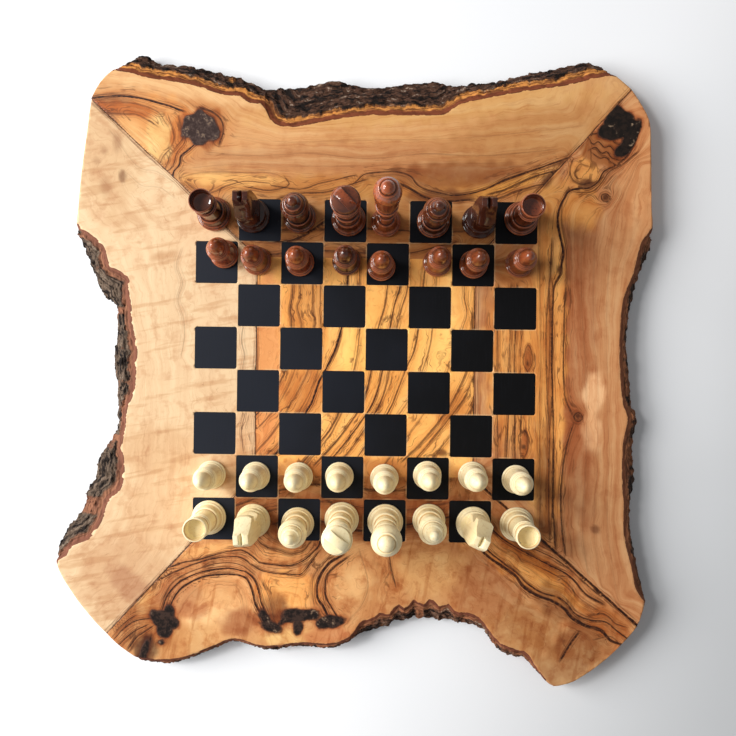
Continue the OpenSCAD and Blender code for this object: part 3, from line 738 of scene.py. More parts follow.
EAST_FIGURE = Figure(
    ground=paint(196, 150, 110),
    veins=(
        Vein(8, ((186, 160), (181, 152), (173, 146), (166, 142), (162, 135), (156, 130.5),
                 (150, 130)), 0.95, 1.0),
        Vein(8, ((150, 130), (142, 128), (138, 122), (134.5, 114), (134, 105), (136, 95), (138, 85),
                 (137, 75)), 1, 1.5),
        Vein(8, ((136, 69), (132, 61), (131, 50), (131, 30), (131, 5), (132, -20), (133, -60), (133, -92),
                 (135, -121)), 0.9, 1.4),
        Vein(7.6, ((188, 155), (180, 148), (170, 142), (165, 135), (158, 128), (148, 127)), 0.7, 0.8, 1),
        Vein(7.6, ((140, 128), (137, 118), (136.5, 108), (139, 95), (140.5, 80), (140, 60)), 0.4, 0.8, 1),
        Vein(7, ((140, 60), (139.5, 40), (139, 15), (139.5, -5), (141, -18), (145, -27)), 0.75, 1.1, 1),
        Vein(7, ((146, -37), (142.5, -50), (139.5, -68), (138.5, -90), (140, -112),
                 (142, -126)), 0.75, 1.1, 1),
        Vein(9, ((130, 92), (129, 70), (127, 40), (127, 10), (128, -15), (130, -45), (130, -80),
                 (131, -116)), 0.6, 1.0),
        Vein(10, ((122, 118), (121, 90), (122, 50), (123, 10), (123, -40), (124, -80),
                  (124, -108)), 0.3, 0.9, 1),
        Vein(6, ((166, 131), (150, 121), (145, 108), (144, 90), (145, 60), (146, 20), (147, -10))),
        Vein(6, ((152, -44), (146, -60), (144, -90), (147, -128)), 0.15, 0.7),
        Vein(5, ((166, 118), (155, 106), (151, 85), (152, 40), (155, 0), (156, -60), (154, -110),
                 (158, -140)), 0.16, 0.7),
        Vein(4, ((176, 128), (163, 108), (160, 80), (160, 30), (163, 0), (164, -60), (162, -110),
                 (168, -150)), 0.12, 0.6),
        Vein(2.5, ((190, 150), (178, 120), (172, 90), (169, 50), (170, 0), (172, -60), (172, -110),
                   (180, -160)), 0.1, 0.6),
        Vein(1, ((196, 140), (190, 105), (182, 75), (177, 40), (177, 0), (179, -60), (179, -110),
                 (188, -155))),
        Vein(7, ((164, 123.5), (165, 126), (168, 126.5), (170.5, 124.5), (169.5, 121.5), (166, 121),
                 (164, 123.5)), 0.7, 0.6),
        Vein(7.3, ((147, -30), (149, -27.6), (151.6, -28), (153, -31), (151, -33.4), (148.5, -33),
                   (147, -31)), 0.8, 0.7),
        Vein(7.5, ((147, 137), (146, 142), (149, 147), (154, 146)), 0.55, 0.9),
        Vein(8.3, ((155, 165), (158, 161), (162, 163), (166, 159), (170, 160), (174, 156),
                   (181, 156)), 0.95, 0.5),
        Vein(8.2, ((157, 158), (160, 159), (164, 155), (168, 156), (171, 152), (177, 150)), 0.95, 0.5, 1),
        Vein(8.4, ((157, 168), (162, 168.5), (166, 165), (170, 166), (174, 162), (179, 161)), 0.9, 0.5, 1),
        Vein(8.1, ((159, 154), (163, 151.5), (167, 152), (171, 148.5), (176, 147)), 0.9, 0.5),
        Vein(7.8, ((144, 150), (142, 143), (144, 136), (150, 133), (156, 134)), 0.6, 1.1, 1),
        Vein(12, ((112, 58), (111, 45), (110, 30), (109, 10), (109, -10), (110, -35), (110, -60)), 0.55, 0.9),
        Vein(12.5, ((106, 60), (105.5, 40), (105, 20), (105, 0), (105.5, -30), (106, -60)), 0.75, 1, 1),
        Vein(13, ((102, 60), (101.5, 30), (101, 0), (101, -30), (100, -60)), 0.7, 0.9),
        Vein(14, ((93, 60), (92.5, 30), (93, 0), (94, -60)), 0.6, 0.9, 1),
        Vein(16, ((80, 62), (79, 40), (80, 0), (79, -60)), 0.25, 0.8),
        Vein(11.5, ((114, 1), (111, 7), (112, 15), (114.5, 20), (117, 14), (117, 6), (114, 1)), 0.6, 0.9),
        Vein(11.5, ((112, -60), (109, -53), (110, -45), (112.5, -40), (115, -46), (115, -54),
                    (112, -60)), 0.6, 0.9),
        joint(NE_TIP, NE_INNER, Glue.PLAIN, 5),
        joint(SE_TIP, SE_INNER, Glue.WIDE, 7),
        joint(NE_INNER, SE_INNER, Glue.PLAIN, 17),
    ),
    patches=(
        Patch(152, 10, 32, 240, 1, paint(172, 118, 82), 0.85, 0.3),
        Patch(158, 100, 22, 60, -28, paint(176, 122, 84), 0.6),
        Patch(172, -20, 22, 260, 0, paint(200, 156, 116), 0.7),
        Patch(190, 150, 26, 90, 0, paint(212, 162, 118), 0.8),
        Patch(127, 0, 26, 260, 0, paint(226, 178, 108), 0.95, 0.3),
        Patch(136, 15, 9, 170, 0, paint(248, 204, 130), 0.95),
        Patch(129.5, -20, 4, 190, 0, paint(150, 92, 50), 0.6),
        Patch(105, 10, 40, 130, 0, paint(232, 182, 110), 0.9),
        Patch(105, 75, 34, 30, 0, paint(176, 120, 70), 0.8),
        Patch(130, 118, 24, 40, 0, paint(206, 156, 92), 0.9),
        Patch(150, 118, 26, 34, 20, paint(214, 160, 92), 0.8),
        Patch(152, 139, 24, 26, 0, paint(218, 166, 98), 0.95, 0.2),
        Patch(164, 157, 32, 22, -28, paint(156, 104, 62), 0.95, 0.15),
        Patch(154, 133, 12, 8, 0, paint(96, 52, 28), 0.9),
        Patch(161, -14, 15, 30, -4, paint(236, 202, 164), 0.95, 0.3),
        Patch(159, -41, 14, 28, 5, paint(232, 198, 160), 0.95, 0.3),
        Patch(150, -52, 18, 50, 0, paint(160, 98, 62), 0.5),
        Patch(163, -109, 6, 6, 0, paint(110, 66, 44), 0.7),
        Patch(136, 73, 4, 6, 0, paint(80, 44, 28), 0.9),
        Patch(167, 124, 5, 5, 0, paint(70, 38, 24), 0.9, 0.3),
        Patch(150, -30, 4, 4, 0, paint(70, 38, 24), 0.9, 0.3),
        Patch(114.5, 10, 6, 19, 0, paint(172, 108, 58), 0.9, 0.2),
        Patch(112.5, -50, 6, 19, 0, paint(172, 108, 58), 0.9, 0.2),
        Patch(114, 7, 2.4, 4, 0, paint(60, 32, 20), 0.9),
        Patch(112, -52, 2.4, 4, 0, paint(60, 32, 20), 0.9),
        Patch(125, 137, 10, 12, 0, paint(104, 70, 46), 0.8),
        Patch(128, -108, 10, 14, 0, paint(150, 104, 70), 0.7),
        Patch(127, -80, 13, 80, 0, paint(142, 94, 52), 0.7),
    ),
    pockets=(
        Oval(178, 176, 26, 19, -50),
        Oval(170, 170, 16, 10, 10),
        Oval(184, 166, 11, 26, -18),
        Oval(178, 157, 14, 7, 30),
    ),
)

SOUTH_FIGURE = Figure(
    ground=paint(208, 160, 112),
    veins=(
        Vein(7, ((-134, -139), (-126, -136), (-116, -134), (-105, -131), (-95, -128), (-85, -127),
                 (-78, -131), (-72, -136)), 0.9, 0.9),
        Vein(7, ((-72, -136), (-60, -137), (-50, -137), (-42, -134), (-36, -129), (-31, -123),
                 (-30, -116)), 0.9, 0.9),
        Vein(6, ((-150, -153), (-140, -147), (-130, -142), (-120, -137.5), (-108, -134), (-96, -132),
                 (-86, -132), (-78, -137)), 0.9, 1, 1),
        Vein(6, ((-78, -137), (-71, -141), (-60, -143), (-50, -143.5), (-43, -143), (-37, -136),
                 (-32, -129)), 0.9, 0.9, 1),
        Vein(5, ((-139, -160), (-134, -151), (-126, -145), (-116, -140.5), (-104, -137), (-92, -136),
                 (-84, -138), (-77, -143)), 0.7, 0.8),
        Vein(4, ((-140, -168), (-137, -160), (-131, -152), (-124, -147), (-114, -143), (-102, -140.5),
                 (-92, -140), (-82, -142)), 1, 1, 1),
        Vein(4, ((-82, -142), (-76, -147), (-73, -155), (-71, -163), (-68, -170), (-65, -178)), 1, 1, 1),
        Vein(3, ((-136, -171), (-133, -163), (-128, -155), (-120, -149.5), (-110, -145.5), (-98, -144),
                 (-88, -144)), 1, 1.1),
        Vein(3, ((-88, -144), (-81, -147), (-77.5, -155), (-75.5, -163), (-72, -170), (-68, -178)), 1, 1.3),
        Vein(6, ((-70, -150), (-66, -158), (-64, -166), (-62, -174)), 0.5, 0.8),
        Vein(5, ((-15, -130), (-23, -135), (-29, -143), (-31.5, -151), (-31, -160), (-27, -166),
                 (-24, -172)), 1, 1.5),
        Vein(4, ((-12, -132), (-19, -137), (-25, -144), (-26, -152), (-25, -160), (-21, -167),
                 (-17, -173)), 0.9, 1, 1),
        Vein(6, ((-22, -129), (-29, -136), (-34, -145), (-35, -155), (-34, -163)), 0.5, 0.8, 1),
        Vein(9, ((-76, -112), (-75, -118), (-69, -124), (-60, -126), (-50, -129), (-42, -127),
                 (-37, -121)), 0.6, 0.8),
        Vein(10, ((-68, -111), (-66, -116), (-60, -120), (-52, -122), (-44, -120)), 0.5, 0.8, 1),
        Vein(2, ((-130, -176), (-124, -163), (-114, -153), (-100, -149), (-88, -151), (-82, -160),
                 (-80, -172)), 0.1, 0.7),
        Vein(1, ((-118, -176), (-110, -163), (-98, -157), (-88, -164))),
        Vein(3.5, ((-2, -128), (2, -140), (4, -152), (0, -164), (-8, -174)), 0.2, 0.8),
        Vein(2.5, ((12, -124), (14, -140), (12, -156), (8, -170))),
        Vein(2, ((34, -122), (38, -136), (40, -150))),
        Vein(2.5, ((60, -122), (70, -140), (84, -156), (100, -174), (108, -186))),
        Vein(5, ((72, -114), (88, -129), (98, -136), (107, -142), (113, -150), (123, -156),
                 (134, -160)), 1, 2),
        Vein(5, ((134, -160), (142, -165), (148, -172), (158, -177), (168, -180), (175, -187),
                 (186, -191)), 1, 2),
        Vein(6, ((74, -111), (88, -125), (98, -133), (108, -140), (116, -148), (126, -154),
                 (137, -157)), 0.9, 1.1, 1),
        Vein(6, ((137, -157), (144, -162), (150, -169), (160, -173), (171, -174), (179, -180),
                 (187, -186)), 0.9, 1.1, 1),
        Vein(9, ((86, -106), (96, -115), (106, -121.5), (118, -128), (132, -135), (142, -140),
                 (150, -147), (157, -155), (168, -161)), 0.95, 1),
        Vein(8.6, ((112, -131), (124, -136), (138, -143), (146, -150), (153, -158),
                   (164, -165)), 0.5, 0.8, 1),
        Vein(10, ((100, -113), (112, -121), (124, -125), (136, -131), (146, -138), (156, -147),
                  (166, -155)), 0.8, 0.9, 1),
        Vein(10.6, ((112, -115), (124, -121), (134, -126), (146, -135)), 0.6, 0.8),
        Vein(7.5, ((92, -121), (106, -130), (118, -138), (130, -147), (142, -152), (152, -162),
                   (164, -169)), 0.2, 0.9),
        Vein(7, ((160, -170), (168, -168), (174, -171), (178, -175), (184, -177)), 0.7, 0.9),
        Vein(4, ((165, -186), (174, -184), (180, -188), (183, -192)), 0.5, 0.8, 1),
        Vein(3, ((140.5, -200), (144, -194), (147, -189), (151, -183.5)), 0.95, 1.3),
        Vein(2.2, ((18.5, -128), (20, -138), (23, -149)), 0.75, 1),
        Vein(2.6, ((-173, -189.5), (-168, -184), (-163, -180), (-157, -177), (-150, -176)), 0.9, 0.8),
        Vein(2.5, ((-170, -194), (-165, -189), (-159, -184.5), (-152, -181)), 0.9, 0.8, 1),
        Vein(2.7, ((-172, -184), (-166, -178.5), (-160, -174.5)), 0.8, 0.7, 1),
        Vein(2.3, ((-163, -196), (-159, -190), (-154, -186), (-148, -182)), 0.9, 0.9),
        Vein(2.4, ((-152, -203), (-150, -196), (-148, -189)), 0.9, 1.1, 1),
        Vein(12, ((-70, -100), (-30, -92), (20, -98), (70, -90)), 0.5, 1.2),
        Vein(13, ((-90, -96), (-60, -85), (-30, -80), (20, -84), (60, -76)), 0.7, 1.2, 1),
        Vein(11, ((-62, -108), (-48, -104), (-30, -106), (0, -112), (60, -102)), 0.8, 1.2),
        joint(SE_TIP, SE_INNER, Glue.WIDE, 11),
        joint(SW_TIP, SW_INNER, Glue.PLAIN, 7),
    ),
    patches=(
        Patch(60, -155, 190, 90, -20, paint(190, 138, 92), 0.85),
        Patch(0, -145, 60, 40, 0, paint(206, 158, 108), 0.7),
        Patch(45, -140, 60, 34, 0, paint(208, 164, 112), 0.8),
        Patch(90, -150, 44, 60, -35, paint(170, 116, 78), 0.7),
        Patch(118, -178, 44, 30, -30, paint(166, 116, 72), 0.8),
        Patch(150, -196, 60, 34, 40, paint(138, 90, 54), 0.8),
        Patch(132, -210, 30, 24, 0, paint(158, 110, 70), 0.8),
        Patch(112, -134, 76, 26, -37, paint(206, 146, 78), 1, 0.2),
        Patch(118, -130, 60, 12, -32, paint(176, 112, 52), 0.8),
        Patch(132, -150, 60, 10, -33, paint(222, 166, 92), 0.8),
        Patch(172, -174, 36, 20, -30, paint(176, 112, 60), 0.9),
        Patch(76, -112, 50, 22, -25, paint(222, 168, 108), 0.8),
        Patch(-100, -165, 74, 52, 0, paint(236, 194, 144), 0.95, 0.15),
        Patch(-100, -155, 40, 22, 0, paint(216, 168, 118), 0.8),
        Patch(-125, -190, 60, 22, 10, paint(206, 158, 106), 0.8),
        Patch(-86, -178, 26, 20, 10, paint(160, 98, 62), 0.8),
        Patch(-120, -170, 24, 12, 0, paint(178, 112, 72), 0.7),
        Patch(-150, -180, 40, 40, 0, paint(176, 124, 76), 0.85),
        Patch(-151, -158, 24, 14, 30, paint(214, 168, 112), 0.8),
        Patch(-130, -160, 34, 22, 0, paint(182, 130, 92), 0.7),
        Patch(-152, -197, 16, 20, 0, paint(84, 54, 38), 0.9, 0.3),
        Patch(-52, -155, 44, 30, 0, paint(242, 188, 118), 0.95, 0.2),
        Patch(-60, -168, 16, 22, 10, paint(122, 70, 38), 0.8, 0.5),
        Patch(-48, -187, 44, 11, 6, paint(232, 196, 136), 0.9, 0.25),
        Patch(-25, -186, 36, 12, 4, paint(196, 130, 88), 0.8),
        Patch(-108, -127, 46, 8, 10, paint(232, 190, 132), 0.9),
        Patch(-55, -131, 44, 12, 0, paint(234, 188, 130), 0.8),
        Patch(-12, -140, 34, 40, 0, paint(230, 188, 136), 0.9),
        Patch(0, -100, 230, 34, 0, paint(150, 96, 58), 0.85),
        Patch(-30, -70, 230, 24, 0, paint(186, 130, 80), 0.7),
        Patch(136, -161, 34, 20, -45, paint(112, 68, 38), 0.6),
        Patch(109, -189, 56, 26, -30, paint(166, 116, 70), 0.5),
    ),
    pockets=(
        Oval(-140, -176, 19, 11, -15),
        Oval(-139, -184, 9, 9, 0),
        Oval(-135, -173, 7, 12, 0),
        Oval(-152, -198, 5, 12, -15),
        Oval(-141, -192.5, 4, 3, 0),
        Oval(-63, -180, 14, 6, -20),
        Oval(-68, -174, 6, 10, 25),
        Oval(-43, -172, 26, 9, 5),
        Oval(-45, -180, 7, 9, 0),
        Oval(-22, -176.5, 17, 7, 2),
        Oval(-56, -177, 10, 3, 40),
    ),
)

WEST_FIGURE = Figure(
    ground=paint(246, 214, 170),
    veins=(
        Vein(1, ((-165, 20), (-163, 0), (-166, -30), (-170, -60), (-175, -90), (-190, -110))),
        Vein(3, ((-196, 110), (-176, 90), (-162, 60), (-154, 20), (-152, -20), (-156, -70), (-168, -110),
                 (-190, -140))),
        Vein(5, ((-198, 150), (-180, 120), (-160, 95), (-148, 50), (-142, 0), (-142, -60), (-150, -110),
                 (-172, -150))),
        Vein(6.5, ((-180, 165), (-162, 142), (-148, 138), (-138, 132)), 0.12, 0.8),
        Vein(7.5, ((-168, 136), (-158, 128), (-146, 127), (-136, 120)), 0.1, 0.8),
        Vein(8, ((-134, 60), (-130, 20), (-128, -30), (-128, -80), (-138, -130))),
        Vein(8.6, ((-130, 82), (-132.5, 72), (-129, 60), (-132, 48), (-128, 36), (-127, 24),
                   (-129, 10)), 0.28, 0.4),
        Vein(10, ((-118, 60), (-114, 20), (-110, -30), (-106, -80), (-116, -110))),
        Vein(13, ((-84, 60), (-80, 20), (-79, -30), (-80, -70))),
        Vein(12, ((-86, 30), (-87, 20), (-85, 10), (-86, 0)), 0.35, 0.6),
        Vein(12, ((-84, -32), (-86, -42), (-85, -56)), 0.5, 0.6),
        joint(NW_TIP, NW_INNER, Glue.PLAIN, 9),
        joint(SW_TIP, SW_INNER, Glue.PLAIN, 9),
        joint(NW_INNER, SW_INNER, Glue.PLAIN, 14),
    ),
    patches=(
        Patch(-185, 150, 50, 100, 10, paint(226, 186, 138), 0.7),
        Patch(-150, 105, 34, 44, 10, paint(244, 212, 168), 0.8),
        Patch(-140, 50, 40, 60, 0, paint(246, 216, 172), 0.7),
        Patch(-160, -150, 90, 60, -40, paint(226, 182, 138), 0.8),
        Patch(-140, -100, 60, 60, 0, paint(238, 198, 152), 0.7),
        Patch(-142, -58, 60, 34, 0, paint(224, 178, 130), 0.6),
        Patch(-172, 134, 5, 9, 0, paint(150, 108, 72), 0.85),
        Patch(-184, 127, 8, 12, 0, paint(196, 150, 106), 0.7, 0.6),
        Patch(-176, 158, 6, 12, 0, paint(184, 138, 98), 0.7, 0.6),
        Patch(-185, 152, 5, 5, 0, paint(186, 142, 100), 0.6, 0.6),
        Patch(-190, 145, 5, 4, 0, paint(190, 146, 104), 0.6, 0.6),
        Patch(-142, 79, 17, 6, 12, paint(208, 158, 110), 0.7, 0.6),
        Patch(-168, 104, 34, 10, 5, paint(218, 172, 124), 0.5, 0.6),
        Patch(-90, -70, 30, 30, 0, paint(216, 164, 112), 0.7),
        Patch(-160, -155, 44, 18, -42, paint(200, 148, 110), 0.8),
    ),
)

PANEL_FIGURE = Figure(
    ground=paint(234, 186, 118),
    veins=(
        Vein(1, ((-74, 70), (-72, 20), (-76, -30))),
        Vein(2.5, ((-52, 79), (-51.5, 55), (-53, 42), (-52, 30), (-56, 0), (-68, -22), (-78, -34)), 0.75, 1),
        Vein(3, ((-47, 79), (-46, 52), (-48, 44), (-45, 30), (-48, 5), (-58, -20), (-70, -36),
                 (-80, -46)), 0.5, 0.9, 1),
        Vein(4, ((-38, 79), (-37, 45), (-36, 30), (-40, 0), (-52, -24), (-64, -44), (-76, -58)), 0.5, 1.4),
        Vein(4.6, ((-32, 79), (-32, 45), (-31, 20), (-34, -4), (-44, -26), (-56, -46),
                   (-70, -62)), 0.45, 1, 1),
        Vein(6, ((-12, 79), (-14, 50), (-17, 30), (-21, 15), (-27, 2), (-32, -8), (-38, -24), (-50, -44),
                 (-66, -64)), 1, 1.4),
        Vein(6.5, ((-16, -25), (-22, -38), (-32, -52), (-44, -66)), 0.8, 1, 1),
        Vein(7, ((-5, 79), (-4, 30), (-8, 0), (-14, -24), (-22, -42), (-32, -56), (-42, -68)), 0.6, 0.9),
        Vein(8, ((15, 79), (15, 60), (13, 45), (9, 30), (6, 8), (0, -18), (-8, -34), (-20, -50),
                 (-34, -66)), 0.75, 1.3),
        Vein(8.6, ((24, 79), (24, 60), (20, 46), (17, 30), (14, 8), (7, -20), (-4, -38), (-16, -54),
                   (-28, -68)), 0.85, 1.1, 1),
        Vein(9.2, ((30, 79), (29, 58), (25, 44), (21, 26), (18, 4), (12, -20), (2, -38), (-10, -56),
                   (-22, -70)), 0.7, 1),
        Vein(10, ((42, 79), (39, 50), (37, 30), (34, 14), (28, 0), (19, -24), (8, -42),
                  (-4, -60)), 0.7, 1, 1),
        Vein(11, ((50, 79), (47, 30), (42, 6), (32, -18), (20, -36), (6, -56)), 0.45, 1),
        Vein(12, ((70, 79), (69, 55), (71, 42), (68, 30), (60, 6), (50, -16), (36, -38), (20, -58),
                  (10, -72)), 0.5, 0.8, 1),
        Vein(13, ((75, 40), (74, 10), (66, -12), (56, -30), (42, -48), (28, -62)), 0.7, 1.4),
        Vein(13.8, ((77, 0), (70, -18), (60, -32), (46, -50), (34, -64)), 0.7, 1, 1),
        Vein(14.6, ((78, -20), (70, -34), (58, -48), (46, -64)), 0.6, 1),
        joint(NW_INNER, SW_INNER, Glue.PLAIN, 1),
        joint(NE_INNER, SE_INNER, Glue.PLAIN, 15),
    ),
    patches=(
        Patch(-70, 0, 24, 160, 0, paint(206, 146, 104), 0.8),
        Patch(-40, 40, 26, 80, 0, paint(202, 146, 84), 0.8),
        Patch(-42, -15, 34, 40, -35, paint(190, 128, 72), 0.85),
        Patch(-5, 25, 24, 60, -10, paint(246, 206, 132), 0.95),
        Patch(45, 20, 40, 50, 0, paint(244, 202, 130), 0.85),
        Patch(10, 45, 20, 40, 0, paint(240, 194, 122), 0.8),
        Patch(60, -24, 30, 26, -40, paint(200, 138, 76), 0.8),
        Patch(10, -15, 30, 40, -30, paint(224, 170, 100), 0.8),
        Patch(0, 79, 150, 14, 0, paint(220, 168, 98), 0.7),
        Patch(0, -70, 150, 16, 0, paint(170, 112, 66), 0.8),
        Patch(55, -57, 8, 5, 0, paint(90, 50, 30), 0.8),
    ),
)

ALONG_X, ALONG_Y = (1.0, 0.0), (0.0, 1.0)
# The bark's relief: how far from the sawn face it starts, over what distance it grows, and its seed.
RELIEF_STARTS, RELIEF_GROWS = 0.6, 4.5
RELIEF_SEED = 7
# Turned work: how deep a full groove is, how high a full crest, and how near its outline a face lies.
GROOVE_DEPTH, CREST_HEIGHT = 0.3, 0.4
ON_OUTLINE = 0.12
MITRES = ((NW_INNER, NW_TIP), (NE_INNER, NE_TIP), (SE_INNER, SE_TIP), (SW_INNER, SW_TIP))


@dataclass(frozen=True)
class BarkLayers:
    """Layers of a live edge from the sawn face outward, with the share of crust left and its lobes."""

    inner: Colour
    inner_width: float
    fibre: Colour
    fibre_width: float
    crust: Colour
    crack: Colour
    lichen: Colour
    cover: float
    lobes: float


@dataclass(frozen=True)
class PocketFill:
    """What fills the bark pockets: its dark and light parts, and how strong the pale specks are."""

    dark: Colour
    light: Colour
    specks: float


NORTH_BARK = BarkLayers(
    inner=paint(126, 66, 40),
    inner_width=4.2,
    fibre=paint(206, 138, 70),
    fibre_width=3.6,
    crust=paint(82, 55, 41),
    crack=paint(22, 14, 11),
    lichen=paint(168, 150, 132),
    cover=1.0,
    lobes=0.9,
)
EAST_BARK = BarkLayers(
    inner=paint(126, 76, 52),
    inner_width=3.0,
    fibre=paint(142, 92, 62),
    fibre_width=2.0,
    crust=paint(72, 50, 38),
    crack=paint(28, 19, 15),
    lichen=paint(124, 102, 86),
    cover=0.35,
    lobes=0.7,
)
SOUTH_BARK = BarkLayers(
    inner=paint(116, 64, 45),
    inner_width=2.6,
    fibre=paint(154, 100, 68),
    fibre_width=2.4,
    crust=paint(106, 74, 57),
    crack=paint(30, 20, 16),
    lichen=paint(196, 176, 152),
    cover=0.6,
    lobes=1.2,
)
WEST_BARK = BarkLayers(
    inner=paint(132, 84, 65),
    inner_width=4.0,
    fibre=paint(150, 102, 76),
    fibre_width=2.6,
    crust=paint(104, 87, 73),
    crack=paint(26, 19, 16),
    lichen=paint(152, 136, 118),
    cover=0.65,
    lobes=2.0,
)
GREY_FILL = PocketFill(paint(56, 42, 39), paint(80, 64, 59), 0.5)
BLACK_FILL = PocketFill(paint(19, 13, 10), paint(36, 25, 19), 0.9)
BROWN_FILL = PocketFill(paint(24, 16, 14), paint(60, 43, 36), 0.6)


BAND_TINT = paint(208, 158, 118)
BAND_GLOW = paint(250, 216, 160)
HAIR_TINT = paint(204, 152, 112)
PORE_TINT = paint(188, 144, 112)
MOTTLE_TINT = paint(206, 154, 112)
MOTTLE_GLOW = paint(250, 214, 150)
CURL_TINT = paint(206, 163, 120)
WILD_TINT = paint(224, 166, 104)
THREAD = paint(98, 54, 27)
LINE_HALO = paint(176, 108, 54)
SIDE_LINE = paint(100, 56, 29)
FRAYED_LINE = paint(92, 50, 25)
SQUARE_EDGE_HIGHLIGHT = paint(236, 200, 150)
POCKET_HALO = paint(176, 108, 60)
POCKET_EDGE = paint(74, 40, 26)
POCKET_SPECK = paint(152, 128, 104)
BARK_LINE = paint(58, 30, 20)


